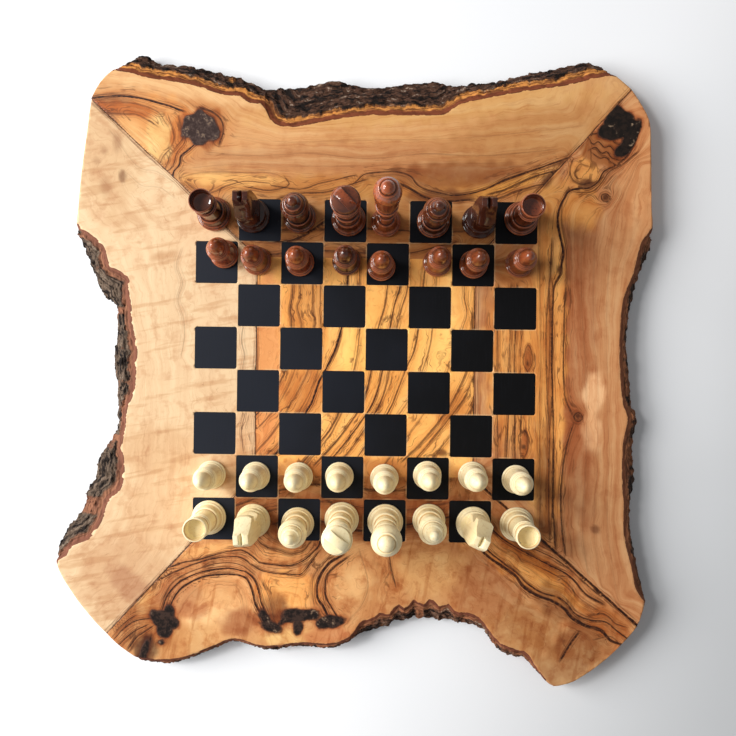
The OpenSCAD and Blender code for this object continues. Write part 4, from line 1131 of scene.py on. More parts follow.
@dataclass(frozen=True)
class OliveWood:
    """Oiled olive wood with dark growth lines, bark pockets and a live edge.

    Args:
        name: The material's name.
        bark: What its live edge shows, or None where it has none.
        along: Direction of the live edge.
        bands: Strength of the broad growth bands.
        hairs: Strength of the fine growth lines.
        wander: How far both wander off the growth surface.
        ripple: Strength of the curl across the grain.
        mottle: Strength of the cloudy spots.
        tint: What the figure's colours are multiplied by.
        fill: What fills its bark pockets.
    """

    name: str
    bark: BarkLayers | None = None
    along: Point = ALONG_X
    bands: float = 0.4
    hairs: float = 0.6
    wander: float = 0.8
    ripple: float = 0.0
    mottle: float = 0.15
    tint: Colour = (1.0, 1.0, 1.0)
    fill: PocketFill = BROWN_FILL

    def live_edge(self, recipe: Recipe, depth: Signal, run: Signal) -> tuple[Signal, Signal, Signal]:
        """Colour and relief of the live edge, in layers that wave along it.

        Args:
            recipe: The material's recipe.
            depth: Distance from the sawn face over the bark, in millimetres.
            run: Distance along the edge, in millimetres.

        Returns:
            The colour, the height of the relief from 0 to 1, and the share of bark where it meets the wood.
        """
        bark = self.bark
        waves = recipe.streaks(run * 0.14, depth * 0.05, 0, 3, 0.6) - 0.5
        lobes = recipe.streaks(run * 0.15, 0, 9, 2, 0.6)
        lain = depth + waves * 5
        strata = recipe.streaks(lain * 0.75, run * 0.05, 7, 3, 0.65)
        ridges = recipe.streaks(lain * 0.34, run * 0.1, depth * 0.1, 4, 0.7)
        chips = recipe.grain(recipe.place, 0.8, 3, 0.6)
        cloud = recipe.streaks(run * 0.045, 0, 3)
        dim = tuple(part * 0.5 for part in bark.inner)
        inner = recipe.mix(strata.over(0.46, 0.6) * 0.6, bark.inner, dim)
        fibre = recipe.mix(strata.over(0.45, 0.57) * 0.85, bark.fibre, dim)
        crust = recipe.mix(ridges.over(0.44, 0.58), bark.crust, bark.crack)
        crust = recipe.mix(ridges.over(0.43, 0.32) * chips.over(0.42, 0.56), crust, bark.lichen)
        limit = 0.62 - 0.3 * bark.cover
        covered = (cloud + (ridges - 0.5) * 0.2 + waves * 0.2).over(limit - 0.03, limit + 0.03)
        outer = (lain + waves * 7 - bark.inner_width - bark.fibre_width).over(-1.2, 1.2) * covered
        layers = recipe.mix(lain.over(bark.inner_width - 0.5, bark.inner_width + 0.5), inner, fibre)
        layers = recipe.mix(outer, layers, crust)
        colour = recipe.mix(depth.over(0.9, 0.35) * 0.6, layers, BARK_LINE)
        meets = (depth - lobes.over(0.46, 0.66) * bark.lobes).over(0.05, 0.4)
        return colour, ridges * (outer * 0.9 + 0.1) * 1.4 + strata * 0.3, meets

    def make(self) -> bpy.types.Material:
        """Makes the material.

        Returns:
            The material.
        """
        recipe = Recipe(self.name)
        x, y, z = recipe.parts(recipe.place)
        wander = recipe.grain(recipe.place, 0.07, 3) - 0.5
        fray = recipe.grain(recipe.place, 0.45, 3) - 0.5
        rough = recipe.grain(recipe.place, 0.36, 4, 0.6)
        cloudy = recipe.grain(recipe.place, 0.1, 4, 0.6)
        growth = recipe.attribute("growth") + wander * self.wander * 2
        wild = recipe.attribute("wild")
        bands = recipe.streaks(growth * 1.2, x * 0.012, y * 0.012)
        hairs = recipe.streaks(growth * 6, x * 0.03, y * 0.03, 3, 0.65)
        pores = recipe.streaks(growth * 22, x * 0.12, y * 0.12)
        threads = recipe.streaks(growth * 1.9, x * 0.022, y * 0.022)
        patchy = recipe.grain(recipe.place, 0.09, 2)
        tone = recipe.attribute("tone", "Color")
        tone = recipe.mix(1, tone, self.tint, "MULTIPLY")
        tone = recipe.mix(bands.over(0.42, 0.68) * self.bands, tone, BAND_TINT, "MULTIPLY")
        tone = recipe.mix(hairs.over(0.5, 0.72) * self.hairs, tone, HAIR_TINT, "MULTIPLY")
        tone = recipe.mix(pores.over(0.6, 0.78) * 0.4, tone, PORE_TINT, "MULTIPLY")
        tone = recipe.mix(bands.over(0.5, 0.28) * 0.12, tone, BAND_GLOW, "SCREEN")
        tone = recipe.mix(cloudy.over(0.5, 0.68) * self.mottle, tone, MOTTLE_TINT, "MULTIPLY")
        tone = recipe.mix(cloudy.over(0.48, 0.32) * self.mottle * 0.2, tone, MOTTLE_GLOW, "SCREEN")
        run = x * self.along[0] + y * self.along[1]
        if self.ripple:
            out = x * self.along[1] + y * self.along[0]
            curl = recipe.streaks(out * 0.02 + run * 0.012, run * 0.15 - out * 0.03, 0, 3, 0.6)
            tone = recipe.mix(curl.over(0.52, 0.66) * self.ripple, tone, CURL_TINT, "MULTIPLY")
        thread = abs(threads - 0.5).over(0.028, 0.008) * patchy.over(0.4, 0.54)
        tone = recipe.mix(wild * 0.3, tone, WILD_TINT, "MULTIPLY")
        tone = recipe.mix(thread * wild * 0.75, tone, THREAD)
        for layer in (0, 1):
            across, strength, width = recipe.parts(recipe.attribute(f"vein_{layer}", "Vector"))
            away = abs(across + fray * 0.7 + wander * 0.9)
            swell = width * (patchy + 0.16)
            core = away.over(swell, swell * 0.55) * (fray * 1.2 + 1.2).least(1)
            beside = recipe.streaks(across * 1.5 + wander * 2, x * 0.035, y * 0.035)
            beside = beside.over(0.51, 0.57) * away.over(4.0, 1.2)
            dark = recipe.mix(fray.over(-0.14, 0.04), FRAYED_LINE, DARK_LINE)
            tone = recipe.mix(away.over(2.6, 0.4) * strength * 0.28, tone, LINE_HALO, "MULTIPLY")
            tone = recipe.mix(beside * strength * 0.8, tone, SIDE_LINE)
            tone = recipe.mix(core * strength, tone, dark)
        # Painted highlight: a thin pale line on the wood along every square's edge, where a chamfer would
        # catch the light.
        off_x, off_y = x.off_line(SQUARE), y.off_line(SQUARE)
        inside = abs(x).most(abs(y)).over(FIELD / 2 - 0.2, FIELD / 2 - 0.5)
        rim = off_x.least(off_y).over(0.7, 0.3) * inside * z.over(BOARD_TOP - 0.2, BOARD_TOP - 0.1)
        tone = recipe.mix(rim * patchy.over(0.42, 0.6) * 0.35, tone, SQUARE_EDGE_HIGHLIGHT)
        pocket = recipe.attribute("pocket") + fray + wander * 7
        hole = pocket.over(-0.4, 0.4)
        scab = recipe.mix(rough.over(0.4, 0.62), self.fill.dark, self.fill.light)
        specks = patchy.over(0.52, 0.6) * rough.over(0.56, 0.64) * self.fill.specks
        scab = recipe.mix(specks, scab, POCKET_SPECK)
        tone = recipe.mix(pocket.over(-3.0, -0.6) * 0.55, tone, POCKET_HALO, "MULTIPLY")
        tone = recipe.mix(pocket.over(-1.1, -0.3) * 0.85, tone, POCKET_EDGE)
        tone = recipe.mix(hole, tone, scab)
        height = pores * 0.06 + hole * rough * 0.4
        broken = hole
        if self.bark:
            colour, relief, outside = self.live_edge(recipe, recipe.attribute("bark"), run)
            tone = recipe.mix(outside, tone, colour)
            height = height + outside * relief
            broken = hole.most(outside)
        return recipe.finish(
            Base_Color=tone,
            Roughness=(broken * 0.42 + 0.44 + pores * 0.08).least(0.95),
            Specular_IOR_Level=0.25,
            Normal=recipe.bump(height, 0.6),
        )


@dataclass(frozen=True)
class BlackInlay:
    """Matt bluish black veneer of the dark squares."""

    name: str = "black_inlay"

    def make(self) -> bpy.types.Material:
        """Makes the material.

        Returns:
            The material.
        """
        recipe = Recipe(self.name)
        grain = recipe.grain(recipe.scaled(recipe.place, (1.2, 0.05, 1)), 1.0, 3, 0.6)
        cloud = recipe.grain(recipe.place, 0.02, 2) - 0.5
        x, _, _ = recipe.parts(recipe.place)
        # Painted sheen: the black is lighter on the left, towards the window, and darker on the right.
        tone = recipe.mix((x + cloud * 160).over(-120, 110), paint(27, 31, 41), paint(4, 4, 6))
        tone = recipe.mix(grain.over(0.5, 0.75) * 0.35, tone, paint(22, 24, 30))
        return recipe.finish(
            Base_Color=tone,
            Roughness=grain * 0.12 + 0.46,
            Specular_IOR_Level=0.17,
            Normal=recipe.bump(grain, 0.03),
        )


@dataclass(frozen=True)
class TurnedWood:
    """Finish of the turned pieces: cream boxwood, or dark wood under a gloss lacquer."""

    name: str
    pale: Colour
    deep: Colour
    streak: Colour
    groove: Colour
    crest_highlight: Colour
    sawn: Colour
    streaks: float
    roughness: float
    coat: float

    def make(self) -> bpy.types.Material:
        """Makes the material.

        Returns:
            The material.
        """
        recipe = Recipe(self.name)
        start = recipe.attribute("start", "Vector")
        place = recipe.add("ShaderNodeVectorMath", {"operation": "ADD"}, {0: recipe.place, 1: start})
        shade = recipe.attribute("shade")
        cloud = recipe.grain(recipe.scaled(place, (1, 1, 0.25)), 0.07, 2)
        hairs = recipe.grain(recipe.scaled(place, (1, 1, 0.06)), 0.75, 3, 0.6)
        tone = recipe.mix((cloud - 0.5 + shade).over(0.2, 0.8), self.pale, self.deep)
        tone = recipe.mix(hairs.over(0.5, 0.72) * self.streaks, tone, self.streak)
        # Painted highlight: the crests of the rings are lightened.
        tone = recipe.mix(recipe.attribute("crest_highlight") * 0.6, tone, self.crest_highlight)
        tone = recipe.mix(recipe.attribute("sawn") * 0.7, tone, self.sawn)
        # Painted shade: the grooves between the rings are darkened.
        tone = recipe.mix(recipe.attribute("groove") * 0.92, tone, self.groove)
        return recipe.finish(
            Base_Color=tone,
            Roughness=hairs * 0.12 + self.roughness,
            Specular_IOR_Level=0.1,
            Coat_Weight=self.coat,
            Coat_Roughness=0.07,
            Coat_IOR=1.7,
            Normal=recipe.bump(hairs, 0.03),
        )


@dataclass
class Slab:
    """One side of the board: a slab of olive wood, mitred at both ends, with its live edge outward.

    Args:
        side: Which side it is, as its CAD node is named.
        figure: The figure of its wood.
        finish: Its finish.
        grain_turn: Direction of the bark's furrows, in degrees from X.
        furrow_depth: How deep they are cut, in millimetres.
        furrow_length: How long they are, in millimetres.
    """

    side: str
    figure: Figure
    finish: OliveWood
    grain_turn: float
    furrow_depth: float
    furrow_length: float = 12.0

    @property
    def node(self) -> str:
        """The slab's CAD node."""
        return f"{self.side}_slab"

    def live(self, x: np.ndarray, y: np.ndarray) -> np.ndarray:
        """Tells which places on the slab's sides belong to its live edge and not to a sawn joint.

        Args:
            x: Places along the ranks.
            y: Places along the files.

        Returns:
            True for each place on the live edge.
        """
        outside = np.maximum(np.abs(x), np.abs(y)) > FIELD / 2 + 1
        for (ax, ay), (bx, by) in MITRES:
            length = math.hypot(bx - ax, by - ay)
            outside &= np.abs((bx - ax) * (y - ay) - (by - ay) * (x - ax)) / length > 0.06
        return outside

    def bark_depth(self, piece: bpy.types.Object) -> np.ndarray:
        """Measures how far each vertex lies from the sawn face, over the bark.

        Args:
            piece: The slab.

        Returns:
            The distance in millimetres, 0 on the sawn face and where the edge was sawn off.
        """
        mesh = piece.data
        place = read(mesh.vertices, "co", 3) / MM
        x, y, z = place.T
        live = self.live(x, y)
        on_top = z > BOARD_TOP - 0.01
        corners = read(mesh.loops, "vertex_index", 1).astype(int)
        slopes = read(mesh.polygons, "normal", 3)[:, 2] < 0.9995
        slopes = np.repeat(slopes, read(mesh.polygons, "loop_total", 1).astype(int))
        beside = np.zeros(len(place), dtype=bool)
        beside[corners[slopes]] = True
        rim = np.flatnonzero(beside & on_top & live)
        outer = tree_of(place[live & (np.abs(z - BOARD_TOP / 2) < 0.01)])
        reach = np.array([outer.find((*place[index][:2], 0))[2] for index in rim])
        share = smooth_step(reach, 1.2, 3.2)
        edge = tree_of(place[rim])
        depth = np.zeros(len(place))
        for index in np.flatnonzero(live & ~on_top):
            _, nearest, away = edge.find((*place[index][:2], 0))
            if z[index] > 0.01 or away > 0.5:
                depth[index] = share[nearest] * math.hypot(away, BOARD_TOP - z[index])
        return depth

    def roughen(self, piece: bpy.types.Object, depth: np.ndarray) -> None:
        """Cuts the bark's furrows into the live edge, inward from its surface.

        Args:
            piece: The slab.
            depth: How far each vertex lies from the sawn face, in millimetres.
        """
        # noise_vector takes its offsets from the clock unless it is given a seed.
        noise.seed_set(RELIEF_SEED)
        turn = Matrix.Rotation(math.radians(-self.grain_turn), 3, "Z")
        stretch = Vector((1 / self.furrow_length, 0.3, 0.3))
        normals = [vertex.normal.copy() for vertex in piece.data.vertices]
        for vertex, normal, away in zip(piece.data.vertices, normals, depth):
            if away <= RELIEF_STARTS:
                continue
            spot = turn @ (vertex.co / MM) * stretch
            bent = spot + 0.6 * noise.noise_vector(spot * 0.6)
            distances, _ = noise.voronoi(bent)
            furrow = 1 - min(1.0, (distances[1] - distances[0]) / 0.35)
            rubble = abs(noise.fractal(spot * 1.3, 0.9, 2.1, 3))
            share = min(1.0, (away - RELIEF_STARTS) / RELIEF_GROWS)
            vertex.co -= normal * (share * self.furrow_depth * (0.8 * furrow + rubble)) * MM
            vertex.co.z = min(max(vertex.co.z, 0.0), BOARD_TOP * MM)

    def build(self) -> bpy.types.Object:
        """Builds and dresses the slab.

        Returns:
            The finished piece.
        """
        piece = merged_copy(self.node, f"olive_{self.node}")
        dice(piece, DICE)
        depth = self.bark_depth(piece)
        with editing(piece, "DESELECT"):
            mesh = bmesh.from_edit_mesh(piece.data)
            for face in mesh.faces:
                face.select_set(all(depth[vertex.index] > 0.2 for vertex in face.verts))
            bpy.ops.mesh.subdivide(number_cuts=1)
        depth = self.bark_depth(piece)
        self.figure.write(piece.data)
        put(piece.data, "bark", "FLOAT", depth)
        self.roughen(piece, depth)
        dress(piece, self.finish.make(), self.node, f"{self.node}_wood", "board")
        return piece


@dataclass
class CentrePanel:
    """The square panel that the four slabs are fitted round."""

    figure: Figure
    finish: OliveWood
    node: str = "centre_panel"

    def build(self) -> bpy.types.Object:
        """Builds and dresses the panel.

        Returns:
            The finished piece.
        """
        piece = merged_copy(self.node, "olive_centre_panel")
        dice(piece, DICE)
        self.figure.write(piece.data)
        put(piece.data, "bark", "FLOAT", np.zeros(len(piece.data.vertices)))
        dress(piece, self.finish.make(), self.node, "panel_wood", "board")
        return piece


@dataclass
class Inlays:
    """The thirty-two black squares, let into the slabs and the panel flush with the top."""

    finish: BlackInlay

    def build(self) -> None:
        """Gives the CAD inlays their finish."""
        material = self.finish.make()
        for rank in range(1, len(FILES) + 1):
            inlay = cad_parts[f"black_squares_rank_{rank}"]
            inlay.data.materials.clear()
            inlay.data.materials.append(material)


class Outline:
    """Outline of turned work, as points of radius and height in millimetres.

    It goes up from the underside, and each stretch starts at the height where the last one ended.
    """

    def __init__(self) -> None:
        """Starts on the axis at the underside."""
        self.points: list[Point] = [(0.0, 0.0)]
        self.z = 0.0

    def arc(self, middle: Point, wide: float, high: float, first: float, last: float, steps: int) -> None:
        """Adds part of an ellipse, and goes on from its highest point.

        Args:
            middle: Radius and height of its middle.
            wide: Half its width.
            high: Half its height.
            first: Angle where it starts, in degrees, 0 outward and 90 up.
            last: Angle where it ends.
            steps: How many straight lines stand for it.
        """
        for step in range(steps + 1):
            turn = math.radians(first + (last - first) * step / steps)
            self.points.append((middle[0] + wide * math.cos(turn), middle[1] + high * math.sin(turn)))
        self.z = self.points[-1][1]

    def bead(self, r: float, h: float) -> None:
        """Adds a half-round bead of height h, whose crest has radius r."""
        self.arc((r - h / 2, self.z + h / 2), h / 2, h / 2, -90, 90, 10)

    def sweep(self, r0: float, z1: float, r1: float, hollow: float, steps: int = 14) -> None:
        """Adds a slope that is hollowed in the middle, or swells where hollow is negative.

        Args:
            r0: Radius where it starts.
            z1: Height where it ends.
            r1: Radius where it ends.
            hollow: Depth of the hollow.
            steps: How many straight lines stand for it.
        """
        for step in range(steps + 1):
            part = step / steps
            radius = r0 + (r1 - r0) * part - hollow * math.sin(math.pi * part)
            self.points.append((radius, self.z + (z1 - self.z) * part))
        self.z = z1

    def bell(self, r0: float, z1: float, r1: float) -> None:
        """Adds a bell that draws in from radius r0 to radius r1 at height z1."""
        self.arc((r0, z1), r0 - r1, z1 - self.z, -90, -180, 14)

    def dome(self, r: float, z1: float, steps: int = 14) -> None:
        """Adds a dome of radius r that closes on the axis at height z1."""
        self.arc((0, self.z), r, z1 - self.z, 0, 90, steps)

    def ball(self, r: float) -> None:
        """Adds a ball of radius r, but for the part that the shoulder below it hides."""
        self.arc((0, self.z + r), r, r, 360 / 14 - 90, 90, 12)


@dataclass
class TurnedPiece:
    """A kind of chess piece that comes off the lathe: its sizes in millimetres, and how it is made."""

    kind: str
    height: float
    foot: float
    neck: float
    ring: float = 1.6
    foot_rise: float = 3.4
    foot_step: float = 1.3
    sides: int = 64
    reach: float = 1.8

    @property
    def foot_top(self) -> float:
        """Height of the foot moulding."""
        return self.foot_rise + self.ring

    @property
    def wide_ring(self) -> float:
        """Height of the wider rings."""
        return 1.5 * self.ring

    def base(self) -> Outline:
        """Starts the outline with the foot moulding that every piece has.

        Returns:
            The outline, up to the top of the foot.
        """
        shape = Outline()
        shape.bead(self.foot / 2, self.foot_rise)
        shape.bead(self.foot / 2 - self.foot_step, self.ring)
        return shape

    def outline(self) -> Outline:
        """Draws the outline of the whole piece."""
        raise NotImplementedError

    def carve(self, piece: bpy.types.Object) -> None:
        """Cuts what the lathe can't."""

    def mark(self, piece: bpy.types.Object) -> None:
        """Marks the painted shade in the grooves, the painted highlight on the crests, and which faces the
        saw left.

        Args:
            piece: The finished piece.
        """
        outline = np.array(self.outline().points)
        steps = np.hypot(*np.diff(outline, axis=0).T)
        along = np.concatenate([[0.0], np.cumsum(steps)])
        offsets = np.linspace(-self.reach, self.reach, 11)[:, None]
        around = np.interp(along + offsets, along, outline[:, 0]).mean(axis=0)
        # Painted shade where the outline dips below its mean radius, painted highlight where it stands above
        # it.
        grooves = np.clip((around - outline[:, 0]) / GROOVE_DEPTH, 0, 1)
        crest_highlights = np.clip((outline[:, 0] - around) / CREST_HEIGHT, 0, 1)
        grooves[outline[:, 0] < self.reach] = 0
        places = read(piece.data.vertices, "co", 3) / MM
        flat = np.stack([np.hypot(places[:, 0], places[:, 1]), places[:, 2]], axis=1)
        away = np.hypot(*(flat[:, None, :] - outline[None, :, :]).transpose(2, 0, 1))
        nearest = away.argmin(axis=1)
        turned = away.min(axis=1) < ON_OUTLINE
        put(piece.data, "groove", "FLOAT", np.where(turned, grooves[nearest], 0))
        put(piece.data, "crest_highlight", "FLOAT", np.where(turned, crest_highlights[nearest], 0))
        put(piece.data, "sawn", "FLOAT", np.where(turned, 0.0, 1.0))

    def model(self) -> bpy.types.Object:
        """Turns the piece on the origin, by spinning its outline.

        Returns:
            The piece.
        """
        points = [Vector((radius, 0, height)) * MM for radius, height in self.outline().points]
        bpy.ops.mesh.primitive_plane_add(size=MM, location=(0, 0, 0))
        piece = bpy.context.object
        piece.name = f"turned_{self.kind}"
        for index, vertex in enumerate(piece.data.vertices):
            vertex.select = index == 0
            vertex.co = points[0]
        with editing(piece):
            bpy.ops.mesh.merge(type="CENTER")
            for start, end in zip(points, points[1:]):
                bpy.ops.mesh.extrude_region_move(TRANSFORM_OT_translate={"value": end - start})
            bpy.ops.mesh.select_all(action="SELECT")
            bpy.ops.mesh.spin(steps=self.sides, angle=math.tau, center=(0, 0, 0), axis=(0, 0, 1))
            bpy.ops.mesh.select_all(action="SELECT")
            bpy.ops.mesh.remove_doubles(threshold=0.000005)
            bpy.ops.mesh.normals_make_consistent(inside=False)
        self.carve(piece)
        self.mark(piece)
        return piece


@dataclass
class Pawn(TurnedPiece):
    """A pawn: a stepped, ringed barrel under a bullet head. Its neck is the barrel."""

    head: float = 10.6
    head_rise: float = 11.0
    barrel_rise: float = 10.0

    def outline(self) -> Outline:
        """Draws the outline of the whole piece.

        Returns:
            The outline.
        """
        radius = self.head / 2
        barrel = self.neck / 2
        head_z = self.height - self.head_rise
        barrel_z = head_z - self.barrel_rise
        shape = self.base()
        shape.sweep(self.foot / 2 - 2, barrel_z, barrel - 1.4, 0.8)
        shape.bead(barrel, self.wide_ring)
        shape.bead(barrel - 0.2, self.wide_ring)
        shape.bead(barrel - 0.9, self.ring)
        shape.bead(barrel - 1.7, self.ring)
        shape.sweep(barrel - 2.4, head_z, radius, 0, 2)
        shape.dome(radius, self.height, 18)
        return shape


@dataclass
class Rook(TurnedPiece):
    """A rook: a plain cup on a slim stem."""

    cup: float = 16.0
    wall: float = 1.4
    cup_depth: float = 8.0
    cup_rise: float = 11.0

    def outline(self) -> Outline:
        """Draws the outline of the whole piece, over the rim and down into the cup.

        Returns:
            The outline.
        """
        radius = self.cup / 2
        cup_z = self.height - self.cup_rise
        bell_z = self.foot_top + 7
        inner = radius - self.wall
        floor = self.height - self.cup_depth
        shape = self.base()
        shape.bell(self.foot / 2 - 2, bell_z, self.neck / 2 + 2)
        shape.bead(self.neck / 2 + 2.6, self.ring)
        shape.sweep(self.neck / 2 + 1.2, cup_z - 2 * self.ring, self.neck / 2, 0.4)
        shape.bead(self.neck / 2 + 1.6, self.ring)
        shape.bead(self.neck / 2 + 1, self.ring)
        shape.sweep(radius - 1.6, self.height - 1, radius, -0.3)
        shape.points += [(radius - 0.15, self.height - 0.3), (radius - 0.5, self.height)]
        shape.points += [(inner + 0.4, self.height), (inner, self.height - 0.5)]
        shape.z = self.height - 0.6
        shape.sweep(inner, floor + 1.2, inner - 0.1, 0, 5)
        shape.points += [(inner - 0.4, floor + 0.4), (inner - 1.3, floor), (0, floor)]
        return shape


@dataclass
class Bishop(TurnedPiece):
    """A bishop: a head in tiers under a small ball."""

    head: float = 18.8
    head_rise: float = 21.0
    ball: float = 6.4

    def outline(self) -> Outline:
        """Draws the outline of the whole piece.

        Returns:
            The outline.
        """
        radius = self.head / 2
        top_z = self.height - self.ball
        head_z = top_z - self.head_rise
        bell_z = self.foot_top + 8
        belly_z, tier_z, upper_z = (head_z + self.head_rise * share for share in (0.24, 0.5, 0.76))
        shape = self.base()
        shape.bell(self.foot / 2 - 2, bell_z, self.neck / 2 + 1.4)
        shape.bead(self.neck / 2 + 2.2, self.ring)
        shape.sweep(self.neck / 2 + 0.8, head_z - self.ring, self.neck / 2, 0.6)
        shape.bead(self.neck / 2 + 1.8, self.ring)
        shape.sweep(radius - 2.4, belly_z, radius, -0.6)
        shape.sweep(radius, tier_z, radius - 2, -0.7)
        shape.bead(radius - 1.7, self.ring)
        shape.sweep(radius - 2.6, upper_z, radius - 4, -0.3)
        shape.bead(radius - 3.7, self.ring)
        shape.sweep(radius - 4.6, top_z, self.ball / 2 - 1, 0.3)
        shape.ball(self.ball / 2)
        return shape


@dataclass
class Queen(TurnedPiece):
    """A queen: a crown with a rim, and two stepped cuts that leave a flat bar across its dome."""

    crown: float = 19.4
    crown_rise: float = 14.0
    rim_drop: float = 6.0
    bar: float = 6.2
    cut_depth: float = 3.0
    slope: float = 12.0

    def outline(self) -> Outline:
        """Draws the outline of the whole piece before the cuts.

        Returns:
            The outline.
        """
        radius = self.crown / 2
        neck = self.neck / 2
        crown_z = self.height - self.crown_rise
        bell_z = self.foot_top + 9
        collar_z = crown_z - self.wide_ring - 2 * self.ring
        middle_z = (bell_z + collar_z) / 2
        shape = self.base()
        rim_z = self.height - self.rim_drop - self.ring
        shape.bell(self.foot / 2 - 1.8, bell_z, neck + 1.4)
        shape.bead(neck + 2.2, self.wide_ring)
        shape.sweep(neck + 0.8, middle_z, neck, 0.5)
        shape.bead(neck + 2, self.wide_ring)
        shape.sweep(neck + 0.5, collar_z, neck, 0.4)
        shape.bead(neck + 2.4, self.wide_ring)
        shape.bead(neck + 1.8, self.ring)
        shape.bead(neck + 1.2, self.ring)
        shape.sweep(radius - 1.8, rim_z, radius - 0.6, -0.5)
        shape.bead(radius, self.ring)
        shape.dome(radius - 0.8, self.height)
        return shape

    def carve(self, piece: bpy.types.Object) -> None:
        """Saws the two stepped cuts beside the bar, with a floor that falls away outward.

        Args:
            piece: The piece as turned.
        """
        near, far = self.bar / 2, self.crown / 2 + 1
        floor = self.height - self.cut_depth
        fall = (far - near) * math.tan(math.radians(self.slope))
        for turn in (0, math.pi):
            bpy.ops.mesh.primitive_cube_add(size=1, location=(0, 0, 0))
            saw = bpy.context.object
            for vertex in saw.data.vertices:
                outer, upper = vertex.co.y > 0, vertex.co.z > 0
                vertex.co.x *= 2 * self.crown
                vertex.co.y = far if outer else near - 0.3 * upper
                vertex.co.z = self.height + 1 if upper else floor - fall * outer
            saw.data.transform(Matrix.Diagonal((MM, MM, MM, 1)) @ Matrix.Rotation(turn, 4, "Z"))
            modify(piece, "BOOLEAN", operation="DIFFERENCE", solver="EXACT", object=saw)
            bpy.data.objects.remove(saw)
        ease(piece, width=0.2, segments=2, angle=26)


@dataclass
class King(TurnedPiece):
    """A king: a domed head with a cap, over several collars. The head is widest at a share of its height."""

    head: float = 19.4
    widest: float = 0.36
    head_from: float = 0.72
    cap_share: float = 0.54
    cap_rise: float = 4.5

    def outline(self) -> Outline:
        """Draws the outline of the whole piece.

        Returns:
            The outline.
        """
        radius = self.head / 2
        neck = self.neck / 2
        cap = radius * self.cap_share
        cap_z = self.height - self.cap_rise
        head_z = self.height * self.head_from
        widest_z = head_z + (cap_z - head_z) * self.widest
        bell_z = self.foot_top + (head_z - self.foot_top) * 0.2
        collar_z = head_z - 2 * self.wide_ring - self.ring
        middle_z = (bell_z + collar_z) / 2
        shape = self.base()
        shape.bell(self.foot / 2 - 1.8, bell_z, neck + 1.2)
        shape.bead(neck + 2.2, self.wide_ring)
        shape.sweep(neck + 0.6, middle_z, neck, 0.4)
        shape.bead(neck + 1.6, self.wide_ring)
        shape.sweep(neck + 0.4, collar_z, neck, 0.4)
        shape.bead(radius - 1, self.wide_ring)
        shape.bead(radius - 1.4, self.ring)
        shape.bead(radius - 0.6, self.wide_ring)
        shape.sweep(radius - 1.6, widest_z, radius, -0.4)
        shape.sweep(radius, cap_z - 2, cap + 1.4, -1.3)
        shape.bead(cap + 1.6, 2)
        shape.dome(cap, self.height)
        return shape


@dataclass
class ChessSet:
    """The thirty-two pieces, light and dark, standing where the set-up has them."""

    finishes: dict[str, TurnedWood]
    kinds: tuple[TurnedPiece, ...]
    queen_turns: dict[str, float]
    shades: dict[str, float]
    knight_sawn_from: float = 14.0

    def stand(self, model: bpy.types.Object, node: str, turn: float = 0.0) -> bpy.types.Object:
        """Copies a turned piece to the place of a CAD node.

        Args:
            model: The piece as turned, on the origin.
            node: The CAD node.
            turn: How far the piece is turned on its foot, in degrees.

        Returns:
            The copy, with its own mesh.
        """
        low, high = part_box(node)
        middle = (low + high) / 2
        piece = placed(f"{node}_turned", model.data.copy())
        place = Matrix.Translation((middle.x, middle.y, low.z))
        piece.data.transform(place @ Matrix.Rotation(math.radians(turn), 4, "Z"))
        return piece

    def knight(self, node: str) -> bpy.types.Object:
        """Copies a CAD knight and eases its sawn edges.

        Args:
            node: The CAD node.

        Returns:
            The copy, with its own mesh.
        """
        piece = merged_copy(node, f"{node}_sawn")
        ease(piece, width=0.35, segments=3, angle=38)
        facing = read(piece.data.vertices, "normal", 3)
        height = read(piece.data.vertices, "co", 3)[:, 2] / MM - BOARD_TOP
        cheeks = (abs(facing[:, 2]) < 0.4) & (height > self.knight_sawn_from)
        for name in ("groove", "crest_highlight"):
            put(piece.data, name, "FLOAT", np.zeros(len(facing)))
        put(piece.data, "sawn", "FLOAT", np.where(cheeks, 0.35, 0.0))
        return piece

    def build(self) -> None:
        """Builds, places and dresses every piece."""
        materials = {name: finish.make() for name, finish in self.finishes.items()}
        models = {kind.kind: kind.model() for kind in self.kinds}
        for node in sorted(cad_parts):
            side, _, rest = node.partition("_")
            if side not in materials:
                continue
            kind, square = rest.split("_")
            if kind == "knight":
                piece = self.knight(node)
            else:
                model = models[f"{side}_{kind}" if f"{side}_{kind}" in models else kind]
                piece = self.stand(model, node, self.queen_turns.get(square, 0.0))
            count = len(piece.data.vertices)
            start = [37.0 * FILES.index(square[0]), 23.0 * int(square[1]), 11.0 * int(square[1])]
            put(piece.data, "start", "FLOAT_VECTOR", np.tile(start, count))
            put(piece.data, "shade", "FLOAT", np.full(count, self.shades.get(square, 0.5)))
            slot = "dark_lacquered_wood" if side == "dark" else "light_boxwood"
            dress(piece, materials[side], node, slot, node, 28 if kind == "queen" else 40)
            LOG.info("piece %s", piece.name)
        for model in models.values():
            bpy.data.objects.remove(model)


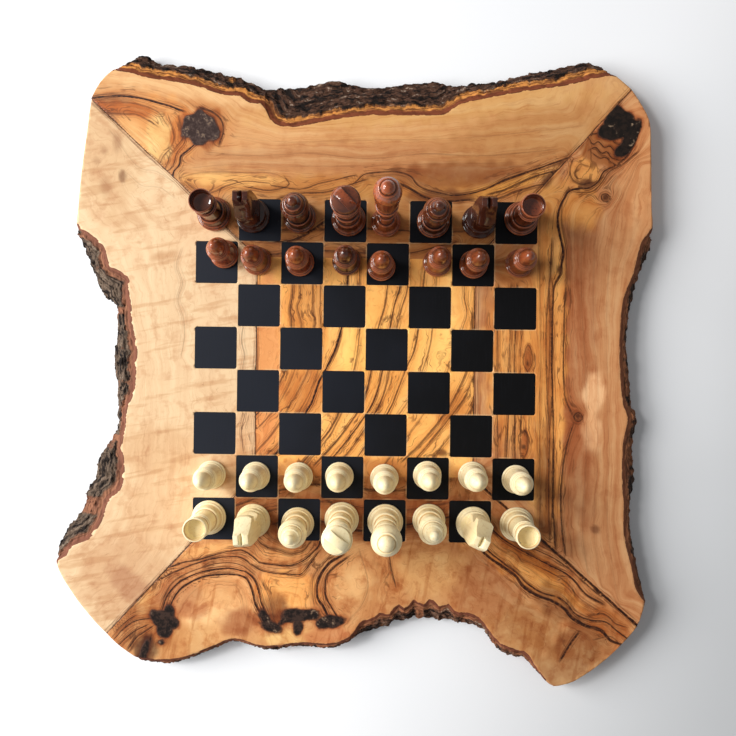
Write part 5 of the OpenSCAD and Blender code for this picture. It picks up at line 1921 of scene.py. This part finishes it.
@dataclass
class Studio:
    """The pale floor, the window light and the camera.

    The camera and the floor's painted shade are in millimetres, the floor's size and the lamps in metres.
    """

    camera_height: float = 565.0
    below_camera: Point = (7.7, -0.7)
    image_size: int = 736
    below_camera_pixel: Point = (376.0, 372.0)
    picture_angle: float = 50.56
    board_turn: float = 0.73
    sensor_width: float = 36.0
    floor_size: float = 6.0
    painted_floor_shade: Point = (70.0, 430.0)
    daylight: Colour = (1.0, 0.98, 0.96)
    room_light: float = 0.25

    def floor(self) -> None:
        """Lays the pale floor that the board lies on."""
        bpy.ops.mesh.primitive_plane_add(size=self.floor_size, location=(0, 0, 0))
        floor = bpy.context.object
        floor.name = "floor"
        recipe = Recipe("pale_floor")
        cloud = recipe.grain(recipe.place, 0.004, 2)
        x, y, _ = recipe.parts(recipe.place)
        tone = recipe.mix(cloud.over(0.3, 0.7), paint(249, 251, 254), paint(246, 249, 253))
        # Painted shade: the pale floor greys towards the lower right, away from the window lamp.
        tone = recipe.mix((x - y * 0.45).over(*self.painted_floor_shade), tone, paint(198, 201, 204))
        floor.data.materials.append(recipe.finish(Base_Color=tone, Roughness=0.9))

    def lamp(self, name: str, place: Sequence[float], width: float, height: float, power: float) -> None:
        """Hangs one soft lamp that points at the board.

        Args:
            name: The lamp's name.
            place: Where it hangs, in metres.
            width: Its width, in metres.
            height: Its height, in metres.
            power: Its power in watts.
        """
        data = bpy.data.lights.new(name, "AREA")
        data.shape = "RECTANGLE"
        data.size = width
        data.size_y = height
        data.energy = power
        data.color = self.daylight
        lamp = placed(name, data)
        lamp.location = place
        lamp.rotation_euler = (-Vector(place)).to_track_quat("-Z", "Y").to_euler()

    def light(self) -> None:
        """Lights the board from a window on the left, with soft light from all round."""
        world = bpy.data.worlds.new("soft_room")
        world.use_nodes = True
        sky = world.node_tree.nodes["Background"].inputs
        sky["Color"].default_value = (1, 1, 1, 1)
        sky["Strength"].default_value = self.room_light
        bpy.context.scene.world = world
        self.lamp("window", (-2.1, 0.16, 1.2), width=2.2, height=1.2, power=83)
        self.lamp("pane", (-1.15, 0.4, 1.45), width=0.36, height=0.36, power=12)

    def camera(self) -> None:
        """Sets the camera straight above the board, at the photograph's distance."""
        data = bpy.data.cameras.new("camera")
        data.sensor_width = self.sensor_width
        data.lens = data.sensor_width / 2 / math.tan(math.radians(self.picture_angle / 2))
        middle = self.image_size / 2
        data.shift_x = -(self.below_camera_pixel[0] - middle) / self.image_size
        data.shift_y = (self.below_camera_pixel[1] - middle) / self.image_size
        camera = placed("camera", data)
        camera.location = Vector((*self.below_camera, self.camera_height)) * MM
        camera.rotation_euler = (0, 0, math.radians(self.board_turn))
        bpy.context.scene.camera = camera

    def build(self) -> None:
        """Sets up the whole studio."""
        bpy.context.scene.view_settings.view_transform = "Standard"
        self.camera()
        self.floor()
        self.light()


def main() -> None:
    """Builds the scene, one sub-assembly after the other."""
    logging.basicConfig(level=logging.INFO, format="%(name)s: %(message)s")
    Studio().build()
    north = OliveWood(
        "olive_north", NORTH_BARK, ALONG_X, bands=0.2, hairs=0.38, wander=0.4, mottle=0.2,
        tint=(1.04, 0.885, 0.73), fill=GREY_FILL,
    )
    east = OliveWood(
        "olive_east", EAST_BARK, ALONG_Y, bands=0.45, hairs=0.45, wander=0.4, mottle=0.25,
        tint=(1.14, 0.97, 0.79), fill=BLACK_FILL,
    )
    south = OliveWood(
        "olive_south", SOUTH_BARK, ALONG_X, bands=0.3, hairs=0.45, ripple=0.45, mottle=0.5,
        tint=(1.13, 1.01, 0.86),
    )
    west = OliveWood(
        "olive_west", WEST_BARK, ALONG_Y, bands=0.14, hairs=0.22, ripple=0.36, mottle=0.3,
        tint=(0.9, 0.88, 0.87),
    )
    centre = OliveWood("olive_centre", bands=0.25, hairs=0.4, tint=(1.34, 1.22, 0.94))
    boards = (
        Slab("north", NORTH_FIGURE, north, grain_turn=0, furrow_depth=1.5, furrow_length=15.0),
        Slab("east", EAST_FIGURE, east, grain_turn=90, furrow_depth=0.9),
        Slab("south", SOUTH_FIGURE, south, grain_turn=0, furrow_depth=1.6),
        Slab("west", WEST_FIGURE, west, grain_turn=90, furrow_depth=1.5),
        CentrePanel(PANEL_FIGURE, centre),
    )
    for board in boards:
        piece = board.build()
        LOG.info("board %s: %d faces", piece.name, len(piece.data.polygons))
    Inlays(BlackInlay()).build()
    finishes = {
        "dark": TurnedWood(
            "dark_lacquer",
            pale=paint(152, 74, 38),
            deep=paint(62, 26, 15),
            streak=paint(36, 15, 10),
            # The groove colour is painted shade in the grooves, and the crest colour a painted highlight on
            # the rings.
            groove=paint(18, 7, 6),
            crest_highlight=paint(186, 108, 72),
            sawn=paint(58, 33, 26),
            streaks=0.75,
            roughness=0.28,
            coat=0.8,
        ),
        "light": TurnedWood(
            "light_boxwood",
            pale=paint(255, 243, 204),
            deep=paint(250, 230, 178),
            streak=paint(226, 192, 128),
            groove=paint(206, 162, 102),
            crest_highlight=paint(255, 244, 208),
            sawn=paint(242, 220, 168),
            streaks=0.45,
            roughness=0.42,
            coat=0.15,
        ),
    }
    kinds = (
        Pawn("pawn", height=42.0, foot=20.0, neck=16.0),
        Rook("rook", height=45.0, foot=24.0, neck=13.0),
        Bishop("bishop", height=58.0, foot=23.0, neck=13.0),
        Queen("light_queen", height=75.0, foot=24.0, neck=13.4),
        Queen("dark_queen", height=67.5, foot=24.0, neck=13.4),
        King("light_king", height=76.0, foot=25.0, neck=13.6),
        King("dark_king", height=108.0, foot=21.0, neck=9.2, head=16.4, widest=0.74, head_from=0.56),
    )
    shades = {
        "a8": 0.55, "b8": 0.85, "c8": 0.75, "d8": 0.6, "e8": 0.3, "f8": 0.7, "g8": 0.7, "h8": 0.5,
        "a7": 0.2, "b7": 0.35, "c7": 0.3, "d7": 1.0, "e7": 0.4, "f7": 0.5, "g7": 0.45, "h7": 0.4,
    }
    ChessSet(finishes, kinds, {"d8": -46.0, "d1": -36.0}, shades).build()


if __name__ == "__main__":
    main()
